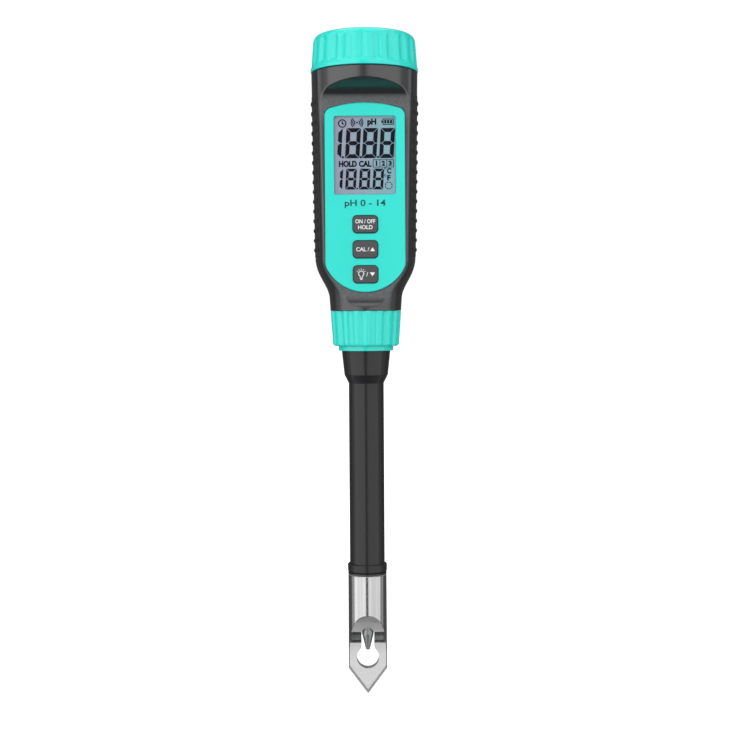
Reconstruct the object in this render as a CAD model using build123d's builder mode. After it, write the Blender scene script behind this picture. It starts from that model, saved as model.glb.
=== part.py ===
from build123d import *
import math
import os

# Pen-type pH meter: a display head with a screw cap, a replaceable probe held by a locking
# collar, and a steel spear guard over the probe's glass tip.
# Millimetres.  The spear's tip is at the origin, +Z runs up the pen, the display faces -Y.

os.makedirs("parts", exist_ok=True)

# ------------------------------------------------------------------ driving dimensions

# general fits
slip = 0.05                  # radial gap of a running fit and of glued joints
gap = 0.3                    # gap between pieces that move past each other
overcut = 0.5                # a cutter, or a boss that joins a wall, runs on this far

# spear guard
guard_r = 7.2
guard_wall = 1.6             # round the probe's nose
guard_length = 45.2
blade_half = 2.0             # half the thickness of the flattened blade
blade_point = 9.6            # height at which the pointed blade reaches its full width
blade_bevel = 1.1
scoop_low = 14.4             # height at which the hollowed face runs into the blade
scoop_high = 30.6            # height at which it runs out on the tube
keyhole_r = 4.16             # round lower part of the keyhole window
keyhole_z = 13.9
slot_clearance = 0.2         # between the glass and the window's narrow upper part
slot_top = 25.5
keyhole_blend = 2.6          # radius that leads the slot into the round part
rinse_r = 2.2                # cross pockets that let the sample rinse the glass
rinse_z = 21.6
rinse_half = 6.05
rinse_y = 3.4
guard_thread_length = 8.2
nose_relief = 1.0            # between the nose and the end of the guard's thread
guard_edge = 0.3

# washer between guard and probe
washer_height = 0.8
washer_proud = 0.05          # the washer's edge stands this far out of the guard
washer_edge = 0.3

# glass electrode
stem_r = 2.2
glass_wall = 0.6
tip_z = 16.5                 # lowest point of the glass
tip_height = 6.0             # height of its cone
tip_end_r = 0.7
bulb_gap = 0.7               # between the glass's wide upper part and the shaft's bore
bulb_low = 62.0
bulb_length = 48.0
wire_r = 0.4
junction_height = 1.4
junction_setback = 0.8       # inside the nose's edge
junction_room = 1.6          # between the junction and the guard's chamber
seal_length = 4.0            # glass bead that closes the top of the bulb
lead_r = 0.5
lead_count = 4

# probe shaft
shaft_r = 6.55
shaft_wall = 1.65
shaft_length = 67.5
bead_proud = 0.15            # the bead stands this far out of the guard
bead_height = 3.2
bead_round = 0.6
nose_plug = 4.0              # solid length of the nose, below the shaft's bore
cone_height = 3.2
hub_step = 1.6               # the hub's lower end stands this far out of the shaft
hub_shelf = 1.2              # width of the flange's shelf round the hub
hub_height = 9.0
sensor_r = 0.9
sensor_length = 5.0
sensor_wall = 0.5            # left in front of the sensor's blind hole

# locking collar
collar_height = 13.1
collar_wall = 1.45           # at the fluted part's lower end
collar_flare = 0.85          # the upper end is this much wider in radius
step_height = 1.7            # plain ring under the fluted part
step_wall = 0.95
lip_height = 2.2             # lip that carries the probe's flange
collar_flutes = 18
collar_flute_width = 2.9
collar_flute_depth = 0.35
collar_round = 1.2           # round lower edge of the fluted part
flange_height = 2.0
seal_height = 0.7

# plug and socket
plug_r = 8.8
plug_height = 9.7
pin_count = 5
pin_r = 0.5
pin_reach = 3.6
pin_margin = 4.2             # from the plug's edge to the circle of pins
pin_root = 3.0               # length of a pin that is moulded into the plug
plug_edge = 0.4
stub_length = 8.0            # the plug's lower part, inside the shaft
socket_height = 4.4
sleeve_wall = 0.35

# housing
spigot_wall = 1.65
neck_flare = 0.3
neck_height = 4.5
barrel_taper = 1.1           # the barrel is this much slimmer in radius at the shoulder
shoulder_height = 14.5
neck_pull = (0.2, 0.34)      # the shoulder's curve leaves the neck: outwards, share of its height
shoulder_pull = (0.5, 0.45)  # and meets the barrel: inwards, share of its height
barrel_r = 19.8
barrel_height = 69.0
wall = 1.9
front_wall = 1.8
flat_depth = 10.8            # distance of the front flat from the pen's axis
scoop_rise = 8.6             # the flat ends this far below the barrel's top
scoop_slope = 0.5            # rise of the scoop's upper wall for each millimetre outwards
scoop_fillet = 7.0
flat_rounding = 0.8
ramp_rise = 3.0              # the flat starts this far above the neck's lower end
ramp_slope = 0.8

# side grips
grip_depth = 1.0
grip_proud = 0.1
grip_low = 20.0              # above the neck's lower end
grip_high = 8.5              # below the barrel's top
grip_front = -30.0           # degrees from the pen's side, towards the display
grip_back = 48.0
rib_count = 16
rib_pitch = 3.62
rib_half = 0.8
rib_proud = 0.4
rib_margin = 6.0             # degrees of plain grip at each end of a rib
grip_end_gap = 0.3           # degrees between a grip's end and its pocket

# face panel
panel_half = 14.65
panel_top_drop = 2.6         # how far the arched upper edge falls at its ends
panel_bottom_drop = 9.9
panel_low = 6.7              # lowest point, above the neck's lower end
panel_height = 69.2
panel_corner = 3.0
panel_thickness = 1.0
panel_clearance = 0.25
panel_bevel = 0.3
recess_depth = 0.5
gasket_thickness = 0.2

# display
window_width = 22.8
window_height = 28.8
window_corner = 1.0
window_mid = 50.0            # centre of the window, above the panel's lowest point
lens_thickness = 0.8
cell_thickness = 2.0
strip_height = 2.0
display_gap = 0.1

# keys
key_width = 9.0
key_height = 6.3
key_corner = 1.7
key_pitch = 9.15
key_count = 3
key_low = 6.5                # lowest key's centre, above the panel's lowest point
key_proud = 0.5
key_travel = 0.4
key_clearance = 0.25
key_flange = 1.2
key_flange_thickness = 0.8
key_flange_rise = 0.8        # the flange is this much taller than the key, each way
key_edge = 0.35
plunger_r = 1.6
switch_side = 6.0
switch_height = 2.0

# circuit board
board_depth = 5.2            # distance of the board's front face from the axis
board_thickness = 1.6
board_half = 15.0
board_foot = 2.8             # above the panel's lowest point
board_taper = 4.5            # the board's lower end is this much narrower each side
screw_r = 0.8
screw_aside = 1.1            # outside the window's edge
screw_below = 5.3            # below the window
screw_above = 4.9            # above the window
screw_tip = 1.0              # between the screw's end and the front wall
screw_slot = (2.0, 0.4)
screw_head_r = 1.7
screw_head = 1.0
boss_r = 2.2

# cells and their holder
cell_r = 5.25
cell_length = 43.5
nub_r = 2.6
nub_height = 1.0
holder_wall = 0.7
holder_length = 44.0
holder_recess = 1.0          # below the thread ring
holder_floor = 1.0
spring_seat = 1.0            # room above and below a spring
spring_turns = 4
spring_inset = 1.6           # a spring is this much slimmer in radius than its cell
cell_spread = 0.4            # each cell's axis stands this far out of the cell's radius
cell_edge = 0.4
spring_height = 5.0
spring_wire = 0.35

# screw cap
cap_height = 13.7
cap_overhang = 0.2
cap_taper = 1.15
cap_lip = 1.3
cap_edge = 3.0
cap_skirt = 2.7
cap_gap = 0.5
cap_flutes = 22
cap_flute_width = 3.4
cap_flute_depth = 0.4
ring_wall = 1.6
ring_height = 8.0
ring_flange = 3.0
thread_gap = 0.3
o_ring = 1.4
o_ring_edge = 0.3
o_ring_rise = 0.8            # above the cap's lower edge
key_slot = (3.4, 1.8)        # keeps the contact disc from turning
cap_ceiling = 5.6            # from the cap's top down to the end of its bore
cap_lip_step = 0.25          # the fluted side stands this far inside the lip
cap_lip_slope = 0.4
flute_start = 0.6            # above the lip
disc_height = 3.0
bridge_height = 0.8
bridge_rim = 0.6             # round the cells' nubs
tongue = (3.0, 1.3)          # of the contact disc, in the key slot
post_r = 3.0
post_head_r = 4.6
post_head_height = 1.2
post_neck = 1.0              # length of the post's neck in the cap's ceiling

# ------------------------------------------------------------------ heights, from the tip up

washer_low = guard_length + slip
washer_top = washer_low + washer_height
bead_low = washer_top + slip
bead_top = bead_low + bead_height
cone_low = bead_top + shaft_length
cone_top = cone_low + cone_height
collar_low = cone_top + hub_height
step_top = collar_low + step_height
lip_top = collar_low + lip_height
flange_low = lip_top + slip
flange_top = flange_low + flange_height
spigot_low = flange_top + slip + seal_height
collar_top = step_top + collar_height
neck_low = collar_top + 2 * slip
neck_top = neck_low + neck_height
barrel_low = neck_top + shoulder_height
barrel_top = barrel_low + barrel_height
cap_low = barrel_top + cap_gap
cap_top = cap_low + cap_height
plug_top = flange_top + plug_height
socket_low = neck_top - socket_height - slip
nose_low = guard_length - guard_thread_length - nose_relief
flat_low = neck_low + ramp_rise
flat_high = barrel_top - scoop_rise
panel_bottom = neck_low + panel_low
panel_top = panel_bottom + panel_height
display_z = panel_bottom + window_mid
grip_bottom = neck_low + grip_low
grip_top = barrel_top - grip_high
key_heights = [panel_bottom + key_low + key_pitch * index for index in range(key_count)]

# ------------------------------------------------------------------ radii and depths

nose_bore_r = guard_r - guard_wall
nose_r = nose_bore_r - gap
washer_r = guard_r + washer_proud
bead_r = guard_r + bead_proud
slot_half = stem_r + slot_clearance
shaft_bore_r = shaft_r - shaft_wall
bulb_r = shaft_bore_r - bulb_gap
spigot_bore_r = plug_r + 3 * slip
spigot_r = spigot_bore_r + spigot_wall
collar_bore_r = spigot_r + gap
flange_r = collar_bore_r - 2 * gap
hub_r_low = shaft_r + hub_step
hub_r_high = flange_r - hub_shelf
hub_bore_r = hub_r_high + 2 * slip
step_r = hub_bore_r + step_wall + slip
collar_r_low = collar_bore_r + collar_wall
collar_r_high = collar_r_low + collar_flare
neck_r_low = collar_r_high
neck_r = neck_r_low + neck_flare
pin_circle_r = plug_r - pin_margin
shoulder_r = barrel_r - barrel_taper
cap_lip_r = barrel_r + cap_overhang
cap_top_r = cap_lip_r - cap_taper
cap_side_r = cap_lip_r - cap_lip_step
cap_bore_r = cap_lip_r - cap_skirt
ring_r = cap_bore_r - thread_gap
ring_bore_r = ring_r - ring_wall
cell_x = cell_r + cell_spread
cell_y = math.sqrt((ring_bore_r - cell_r - 4 * slip) ** 2 - cell_x ** 2)
inner_depth = flat_depth - front_wall
panel_back = flat_depth - recess_depth + gasket_thickness
panel_front = panel_back + panel_thickness
cell_front = panel_back - display_gap
cell_back = cell_front - cell_thickness
board_back = board_depth - board_thickness
switch_front = board_depth + switch_height
plunger_tip = switch_front - 2 * key_travel
key_flange_front = inner_depth - slip
key_flange_back = key_flange_front - key_flange_thickness
ceiling_z = cap_top - cap_ceiling
holder_top = barrel_top - ring_flange - holder_recess
holder_low = holder_top - holder_length
cells_low = holder_low + holder_floor + spring_seat + spring_height
cells_top = cells_low + cell_length + nub_height
screw_heights = [
    display_z - window_height / 2 - screw_below,
    display_z + window_height / 2 + screw_above,
]
screw_x = window_width / 2 + screw_aside


def front(depth):
    """Plane that faces the display side, at this distance from the pen's axis."""
    return Plane.XZ.offset(depth)


def flute_radius(width, depth):
    """Radius of the round cutter that leaves a flute of this width and depth."""
    return (width**2 / 4 + depth**2) / (2 * depth)


def barrel_surface(z):
    """Radius of the barrel's tapered outside at this height."""
    return shoulder_r + (barrel_r - shoulder_r) * (z - barrel_low) / barrel_height


def side_plane(degrees):
    """Upright plane through the axis; its x direction points this many degrees from +X."""
    turn = math.radians(degrees)
    return Plane(
        origin=(0, 0, 0),
        x_dir=(math.cos(turn), math.sin(turn), 0),
        z_dir=(math.sin(turn), -math.cos(turn), 0),
    )


def panel_outline(grow):
    """Add the face panel's outline, grown outwards, to the sketch that is being drawn."""
    half = panel_half + grow
    top = panel_top + grow
    bottom = panel_bottom - grow
    top_side = top - panel_top_drop
    bottom_side = bottom + panel_bottom_drop
    with BuildLine() as outline:
        ThreePointArc((-half, bottom_side), (0, bottom), (half, bottom_side))
        Line((half, bottom_side), (half, top_side))
        ThreePointArc((half, top_side), (0, top), (-half, top_side))
        Line((-half, top_side), (-half, bottom_side))
    make_face(outline.edges())


def round_panel_corners(sketch):
    """Round the four corners of a panel outline in the sketch that is being drawn."""
    fillet(sketch.vertices(), panel_corner)


# ------------------------------------------------------------------ housing

with BuildPart() as cavity:
    with BuildSketch(Plane.XZ):
        with BuildLine():
            Polyline((0, neck_top), (neck_r - wall, neck_top))
            Bezier(
                (neck_r - wall, neck_top),
                (neck_r - wall + neck_pull[0], neck_top + shoulder_height * neck_pull[1]),
                (shoulder_r - wall - shoulder_pull[0], barrel_low - shoulder_height * shoulder_pull[1]),
                (shoulder_r - wall, barrel_low),
            )
            Polyline(
                (shoulder_r - wall, barrel_low),
                (barrel_r - wall, barrel_top),
                (0, barrel_top),
                (0, neck_top),
            )
        make_face()
    revolve(axis=Axis.Z)
    with BuildSketch(front(inner_depth)):
        with Locations((0, (neck_top + barrel_top) / 2)):
            Rectangle(2 * barrel_r, barrel_top - neck_top + 2)
    extrude(amount=barrel_r, mode=Mode.SUBTRACT)

with BuildPart() as housing:
    with BuildSketch(Plane.XZ):
        with BuildLine():
            Polyline(
                (0, spigot_low),
                (spigot_r, spigot_low),
                (spigot_r, neck_low),
                (neck_r_low, neck_low),
                (neck_r, neck_top),
            )
            Bezier(
                (neck_r, neck_top),
                (neck_r + neck_pull[0], neck_top + shoulder_height * neck_pull[1]),
                (shoulder_r - shoulder_pull[0], barrel_low - shoulder_height * shoulder_pull[1]),
                (shoulder_r, barrel_low),
            )
            Polyline((shoulder_r, barrel_low), (barrel_r, barrel_top), (0, barrel_top), (0, spigot_low))
        make_face()
    revolve(axis=Axis.Z)
    # front flat, with the scoop's wall above it and the ramp to the neck below it
    reach = barrel_r + 2
    with BuildSketch(Plane.YZ) as flat_cut:
        with BuildLine():
            Polyline(
                (-flat_depth, flat_low),
                (-flat_depth, flat_high),
                (-reach, flat_high + (reach - flat_depth) * scoop_slope),
                (-reach, flat_low - (reach - flat_depth) * ramp_slope),
                (-flat_depth, flat_low),
            )
        make_face()
        fillet(flat_cut.vertices().filter_by_position(Axis.X, -flat_depth - 0.1, 0), scoop_fillet)
    extrude(amount=reach, both=True, mode=Mode.SUBTRACT)
    flat_edges = housing.edges().filter_by(
        lambda edge: edge.center().Y < -flat_depth + 0.4 and edge.geom_type != GeomType.LINE
    )
    fillet(flat_edges.filter_by_position(Axis.Z, neck_low + 0.5, barrel_top - 1), flat_rounding)
    add(cavity.part, mode=Mode.SUBTRACT)
    # socket for the probe's plug
    with BuildSketch(Plane.XY.offset(spigot_low)):
        Circle(spigot_bore_r)
    extrude(amount=neck_top - spigot_low, mode=Mode.SUBTRACT)
    # recess for the panel, display opening and key holes
    with BuildSketch(front(flat_depth)) as recess:
        panel_outline(panel_clearance)
        round_panel_corners(recess)
    extrude(amount=-recess_depth, mode=Mode.SUBTRACT)
    with BuildSketch(front(flat_depth)):
        with Locations((0, display_z)):
            RectangleRounded(
                window_width + 2 * panel_clearance,
                window_height + 2 * panel_clearance,
                window_corner,
            )
        with Locations([(0, z) for z in key_heights]):
            RectangleRounded(key_width + 2 * key_clearance, key_height + 2 * key_clearance, key_corner)
    extrude(amount=-(front_wall + overcut), mode=Mode.SUBTRACT)
    # bosses for the board's screws
    with BuildSketch(front(board_depth)):
        with Locations([(x, z) for x in (-screw_x, screw_x) for z in screw_heights]):
            Circle(boss_r)
    extrude(amount=inner_depth - board_depth + overcut)
    with BuildSketch(front(board_depth)):
        with Locations([(x, z) for x in (-screw_x, screw_x) for z in screw_heights]):
            Circle(screw_r + slip)
    extrude(amount=inner_depth - board_depth - overcut, mode=Mode.SUBTRACT)
    # pockets for the side grips
    for side in (0, 180):
        start = grip_front if side == 0 else 180 - grip_back
        with BuildSketch(side_plane(start)):
            with BuildLine():
                Polyline(
                    (barrel_surface(grip_bottom) - grip_depth, grip_bottom),
                    (barrel_surface(grip_top) - grip_depth, grip_top),
                    (reach, grip_top),
                    (reach, grip_bottom),
                    close=True,
                )
            make_face()
        revolve(axis=Axis.Z, revolution_arc=grip_back - grip_front, mode=Mode.SUBTRACT)
housing.part.label = "housing"
export_step(housing.part, "parts/housing.step")

# ------------------------------------------------------------------ side grips

for grip_name, start in (("grip_right", grip_front), ("grip_left", 180 - grip_back)):
    rib_low = (grip_bottom + grip_top) / 2 - (rib_count - 1) / 2 * rib_pitch
    rib_r = (rib_half**2 + rib_proud**2) / (2 * rib_proud)
    with BuildPart() as grip:
        with BuildSketch(side_plane(start + grip_end_gap)):
            with BuildLine():
                Polyline(
                    (barrel_surface(grip_bottom) - grip_depth + slip, grip_bottom + slip),
                    (barrel_surface(grip_bottom) + grip_proud, grip_bottom + slip),
                    (barrel_surface(grip_top) + grip_proud, grip_top - slip),
                    (barrel_surface(grip_top) - grip_depth + slip, grip_top - slip),
                    close=True,
                )
            make_face()
        revolve(axis=Axis.Z, revolution_arc=grip_back - grip_front - 2 * grip_end_gap)
        for index in range(rib_count):
            rib_z = rib_low + index * rib_pitch
            surface = barrel_surface(rib_z) + grip_proud
            with BuildSketch(side_plane(start + rib_margin)):
                with Locations((surface + rib_proud - rib_r, rib_z)):
                    Circle(rib_r)
                with Locations((surface - rib_r - grip_depth / 2, rib_z)):
                    Rectangle(2 * rib_r, 3 * rib_r, mode=Mode.SUBTRACT)
            revolve(axis=Axis.Z, revolution_arc=grip_back - grip_front - 2 * rib_margin)
    grip.part.label = grip_name
    export_step(grip.part, f"parts/{grip_name}.step")

# ------------------------------------------------------------------ thread ring for the cap

with BuildPart() as thread_ring:
    with BuildSketch(Plane.XZ):
        with BuildLine():
            Polyline(
                (ring_bore_r, barrel_top - ring_flange),
                (barrel_surface(barrel_top - ring_flange) - wall - slip, barrel_top - ring_flange),
                (barrel_surface(barrel_top - ring_flange) - wall - slip, barrel_top),
                (ring_r, barrel_top),
                (ring_r, barrel_top + ring_height),
                (ring_bore_r, barrel_top + ring_height),
                close=True,
            )
        make_face()
    revolve(axis=Axis.Z)
    # groove for the seal
    with BuildSketch(Plane.XY.offset(cap_low + o_ring_rise)):
        Circle(ring_r + 1)
        Circle(ring_r - o_ring / 2, mode=Mode.SUBTRACT)
    extrude(amount=o_ring + 2 * slip, mode=Mode.SUBTRACT)
    # key slot that keeps the contact disc from turning
    with BuildSketch(Plane.XY.offset(barrel_top - ring_flange)):
        with Locations((0, ring_bore_r)):
            Rectangle(key_slot[0], key_slot[1])
    extrude(amount=ring_flange + ring_height, mode=Mode.SUBTRACT)
    # flat that clears the housing's front wall
    with BuildSketch(front(inner_depth - slip)):
        with Locations((0, barrel_top - ring_flange / 2)):
            Rectangle(2 * barrel_r, ring_flange)
    extrude(amount=barrel_r, mode=Mode.SUBTRACT)
thread_ring.part.label = "thread_ring"
export_step(thread_ring.part, "parts/thread_ring.step")

with BuildPart() as cap_seal:
    with BuildSketch(Plane.XY.offset(cap_low + o_ring_rise + slip)):
        Circle(ring_r + thread_gap - slip)
        Circle(ring_r - o_ring / 2 + slip, mode=Mode.SUBTRACT)
    extrude(amount=o_ring)
    fillet(cap_seal.edges().filter_by(GeomType.CIRCLE), o_ring_edge)
cap_seal.part.label = "cap_seal"
export_step(cap_seal.part, "parts/cap_seal.step")

# ------------------------------------------------------------------ face panel and display

with BuildPart() as panel_gasket:
    with BuildSketch(front(flat_depth - recess_depth)) as gasket_shape:
        panel_outline(0)
        round_panel_corners(gasket_shape)
        offset(amount=-panel_bevel)
        with Locations((0, display_z)):
            RectangleRounded(
                window_width + 2 * panel_clearance,
                window_height + 2 * panel_clearance,
                window_corner,
                mode=Mode.SUBTRACT,
            )
        with Locations([(0, z) for z in key_heights]):
            RectangleRounded(
                key_width + 2 * key_clearance,
                key_height + 2 * key_clearance,
                key_corner,
                mode=Mode.SUBTRACT,
            )
    extrude(amount=gasket_thickness)
panel_gasket.part.label = "panel_gasket"
export_step(panel_gasket.part, "parts/panel_gasket.step")

with BuildPart() as face_panel:
    with BuildSketch(front(panel_back)) as panel_shape:
        panel_outline(0)
        round_panel_corners(panel_shape)
    extrude(amount=panel_thickness)
    chamfer(face_panel.faces().sort_by(Axis.Y)[0].outer_wire().edges(), panel_bevel)
    with BuildSketch(front(panel_back)):
        with Locations((0, display_z)):
            RectangleRounded(window_width, window_height, window_corner)
        with Locations([(0, z) for z in key_heights]):
            RectangleRounded(key_width + 2 * key_clearance, key_height + 2 * key_clearance, key_corner)
    extrude(amount=panel_thickness, mode=Mode.SUBTRACT)
face_panel.part.label = "face_panel"
export_step(face_panel.part, "parts/face_panel.step")

with BuildPart() as display_window:
    with BuildSketch(front(panel_back)):
        with Locations((0, display_z)):
            RectangleRounded(window_width - 2 * slip, window_height - 2 * slip, window_corner - slip)
    extrude(amount=lens_thickness)
display_window.part.label = "display_window"
export_step(display_window.part, "parts/display_window.step")

with BuildPart() as lcd_cell:
    with BuildSketch(front(cell_back)):
        with Locations((0, display_z)):
            RectangleRounded(window_width + 2 * slip, window_height + 2 * slip, window_corner)
    extrude(amount=cell_thickness)
lcd_cell.part.label = "lcd_cell"
export_step(lcd_cell.part, "parts/lcd_cell.step")

strip_z = window_height / 2 - strip_height / 2
with BuildPart() as contact_strips:
    with BuildSketch(front(board_depth)):
        with Locations((0, display_z - strip_z), (0, display_z + strip_z)):
            Rectangle(window_width - 2, strip_height)
    extrude(amount=cell_back - board_depth)
contact_strips.part.label = "contact_strips"
export_step(contact_strips.part, "parts/contact_strips.step")

with BuildPart() as backlight:
    with BuildSketch(front(board_depth)):
        with Locations((0, display_z)):
            Rectangle(window_width - 1, window_height - 2 * strip_height - 4 * display_gap)
    extrude(amount=cell_back - board_depth - display_gap)
backlight.part.label = "backlight"
export_step(backlight.part, "parts/backlight.step")

# ------------------------------------------------------------------ circuit board

board_low = panel_bottom + board_foot
with BuildPart() as main_board:
    with BuildSketch(front(board_back)):
        with BuildLine():
            Polyline(
                (-board_half + board_taper, board_low),
                (board_half - board_taper, board_low),
                (board_half, barrel_low),
                (board_half, holder_top),
                (-board_half, holder_top),
                (-board_half, barrel_low),
                close=True,
            )
        make_face()
        with Locations([(x, z) for x in (-screw_x, screw_x) for z in screw_heights]):
            Circle(screw_r + slip, mode=Mode.SUBTRACT)
    extrude(amount=board_thickness)
main_board.part.label = "main_board"
export_step(main_board.part, "parts/main_board.step")

chip_sizes = [
    (0, display_z, 9.0, 9.0, 1.2),
    (-9.0, display_z + 6, 4.0, 5.0, 1.2),
    (8.5, display_z - 7, 5.0, 4.0, 1.5),
    (0, display_z - 16, 7.0, 2.5, 1.8),
    (-7.5, key_heights[1], 4.0, 3.0, 1.0),
    (6.5, key_heights[1], 3.0, 3.0, 1.0),
    (0, key_heights[0], 3.2, 1.6, 0.8),
]
with BuildPart() as board_parts:
    for x, z, width, height, thickness in chip_sizes:
        with BuildSketch(front(board_back)):
            with Locations((x, z)):
                Rectangle(width, height)
        extrude(amount=-thickness)
board_parts.part.label = "board_parts"
export_step(board_parts.part, "parts/board_parts.step")

with BuildPart() as board_screws:
    with BuildSketch(front(board_back)):
        with Locations([(x, z) for x in (-screw_x, screw_x) for z in screw_heights]):
            Circle(screw_r)
    extrude(amount=inner_depth - board_back - screw_tip)
    with BuildSketch(front(board_back)):
        with Locations([(x, z) for x in (-screw_x, screw_x) for z in screw_heights]):
            Circle(screw_head_r)
    extrude(amount=-screw_head)
    with BuildSketch(front(board_back - screw_head)):
        with Locations([(x, z) for x in (-screw_x, screw_x) for z in screw_heights]):
            Rectangle(screw_slot[0], screw_slot[1])
            Rectangle(screw_slot[1], screw_slot[0])
    extrude(amount=screw_head / 2, mode=Mode.SUBTRACT)
board_screws.part.label = "board_screws"
export_step(board_screws.part, "parts/board_screws.step")

with BuildPart() as switch_bodies:
    with BuildSketch(front(board_depth)):
        with Locations([(0, z) for z in key_heights]):
            Rectangle(switch_side, switch_side)
    extrude(amount=switch_height)
    with BuildSketch(front(plunger_tip - key_travel - slip)):
        with Locations([(0, z) for z in key_heights]):
            Circle(plunger_r + 2 * slip)
    extrude(amount=switch_height, mode=Mode.SUBTRACT)
switch_bodies.part.label = "switch_bodies"
export_step(switch_bodies.part, "parts/switch_bodies.step")

# ------------------------------------------------------------------ keys

key_names = ["light_key", "cal_key", "power_key"]
for key_name, z in zip(key_names, key_heights):
    with BuildPart() as key:
        with BuildSketch(front(key_flange_front)):
            with Locations((0, z)):
                RectangleRounded(key_width, key_height, key_corner - key_clearance)
        extrude(amount=panel_front + key_proud - key_flange_front)
        fillet(key.faces().sort_by(Axis.Y)[0].edges(), key_edge)
        with BuildSketch(front(key_flange_back)):
            with Locations((0, z)):
                RectangleRounded(key_width + 2 * key_flange, key_height + 2 * key_flange_rise, key_corner)
        extrude(amount=key_flange_thickness)
    key.part.label = key_name
    export_step(key.part, f"parts/{key_name}.step")
    with BuildPart() as plunger:
        with BuildSketch(front(plunger_tip)):
            with Locations((0, z)):
                Circle(plunger_r)
        extrude(amount=key_flange_back - plunger_tip)
    plunger.part.label = key_name.replace("key", "plunger")
    export_step(plunger.part, f"parts/{plunger.part.label}.step")

# ------------------------------------------------------------------ cells and holder

cell_places = [(-cell_x, cell_y), (cell_x, cell_y)]
with BuildPart() as battery_holder:
    with BuildSketch(Plane.XY.offset(holder_low)):
        with Locations(cell_places):
            Circle(cell_r + gap + holder_wall)
    extrude(amount=holder_length)
    with BuildSketch(Plane.XY.offset(holder_low + holder_floor)):
        with Locations(cell_places):
            Circle(cell_r + gap - 2 * slip)
    extrude(amount=holder_length, mode=Mode.SUBTRACT)
battery_holder.part.label = "battery_holder"
export_step(battery_holder.part, "parts/battery_holder.step")

with BuildPart() as battery_cells:
    with BuildSketch(Plane.XY.offset(cells_low)):
        with Locations(cell_places):
            Circle(cell_r)
    extrude(amount=cell_length)
    fillet(battery_cells.edges().filter_by(GeomType.CIRCLE), cell_edge)
    with BuildSketch(Plane.XY.offset(cells_low + cell_length)):
        with Locations(cell_places):
            Circle(nub_r)
    extrude(amount=nub_height)
battery_cells.part.label = "battery_cells"
export_step(battery_cells.part, "parts/battery_cells.step")

with BuildPart() as battery_springs:
    for x, y in cell_places:
        with BuildLine() as coil:
            Helix(
                pitch=spring_height / spring_turns,
                height=spring_height - 2 * spring_wire,
                radius=cell_r - spring_inset,
                center=(x, y, holder_low + 1.0 + slip + spring_wire + 0.3),
            )
        with BuildSketch(Plane(origin=coil.line @ 0, z_dir=coil.line % 0)):
            Circle(spring_wire)
        sweep(path=coil.line)
battery_springs.part.label = "battery_springs"
export_step(battery_springs.part, "parts/battery_springs.step")

# ------------------------------------------------------------------ socket in the neck

with BuildPart() as socket_block:
    with BuildSketch(Plane.XY.offset(socket_low)):
        Circle(spigot_bore_r - slip)
        with PolarLocations(pin_circle_r, pin_count):
            Circle(pin_r + slip + sleeve_wall, mode=Mode.SUBTRACT)
    extrude(amount=socket_height)
socket_block.part.label = "socket_block"
export_step(socket_block.part, "parts/socket_block.step")

with BuildPart() as socket_sleeves:
    with BuildSketch(Plane.XY.offset(socket_low)):
        with PolarLocations(pin_circle_r, pin_count):
            Circle(pin_r + slip + sleeve_wall)
            Circle(pin_r + slip, mode=Mode.SUBTRACT)
    extrude(amount=socket_height)
socket_sleeves.part.label = "socket_sleeves"
export_step(socket_sleeves.part, "parts/socket_sleeves.step")

# ------------------------------------------------------------------ screw cap and its contact disc

disc_low = cells_top + bridge_height + slip
disc_top = disc_low + disc_height
neck_end = ceiling_z + post_neck + 2 * slip
with BuildPart() as contact_disc:
    with BuildSketch(Plane.XY.offset(disc_low)):
        Circle(ring_bore_r - 2 * slip)
        with Locations((0, ring_bore_r - 2 * slip)):
            Rectangle(tongue[0], tongue[1])
    extrude(amount=disc_top - disc_low)
    with BuildSketch(Plane.XY.offset(disc_top)):
        Circle(post_r)
    extrude(amount=neck_end - disc_top)
    with BuildSketch(Plane.XY.offset(neck_end)):
        Circle(post_head_r)
    extrude(amount=post_head_height)
contact_disc.part.label = "contact_disc"
export_step(contact_disc.part, "parts/contact_disc.step")

with BuildPart() as contact_bridge:
    with BuildSketch(Plane.XY.offset(cells_top + slip)):
        with Locations((0, cell_y)):
            SlotOverall(2 * (cell_x + nub_r + bridge_rim), 2 * (nub_r + bridge_rim))
    extrude(amount=disc_low - cells_top - slip)
contact_bridge.part.label = "contact_bridge"
export_step(contact_bridge.part, "parts/contact_bridge.step")

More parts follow.
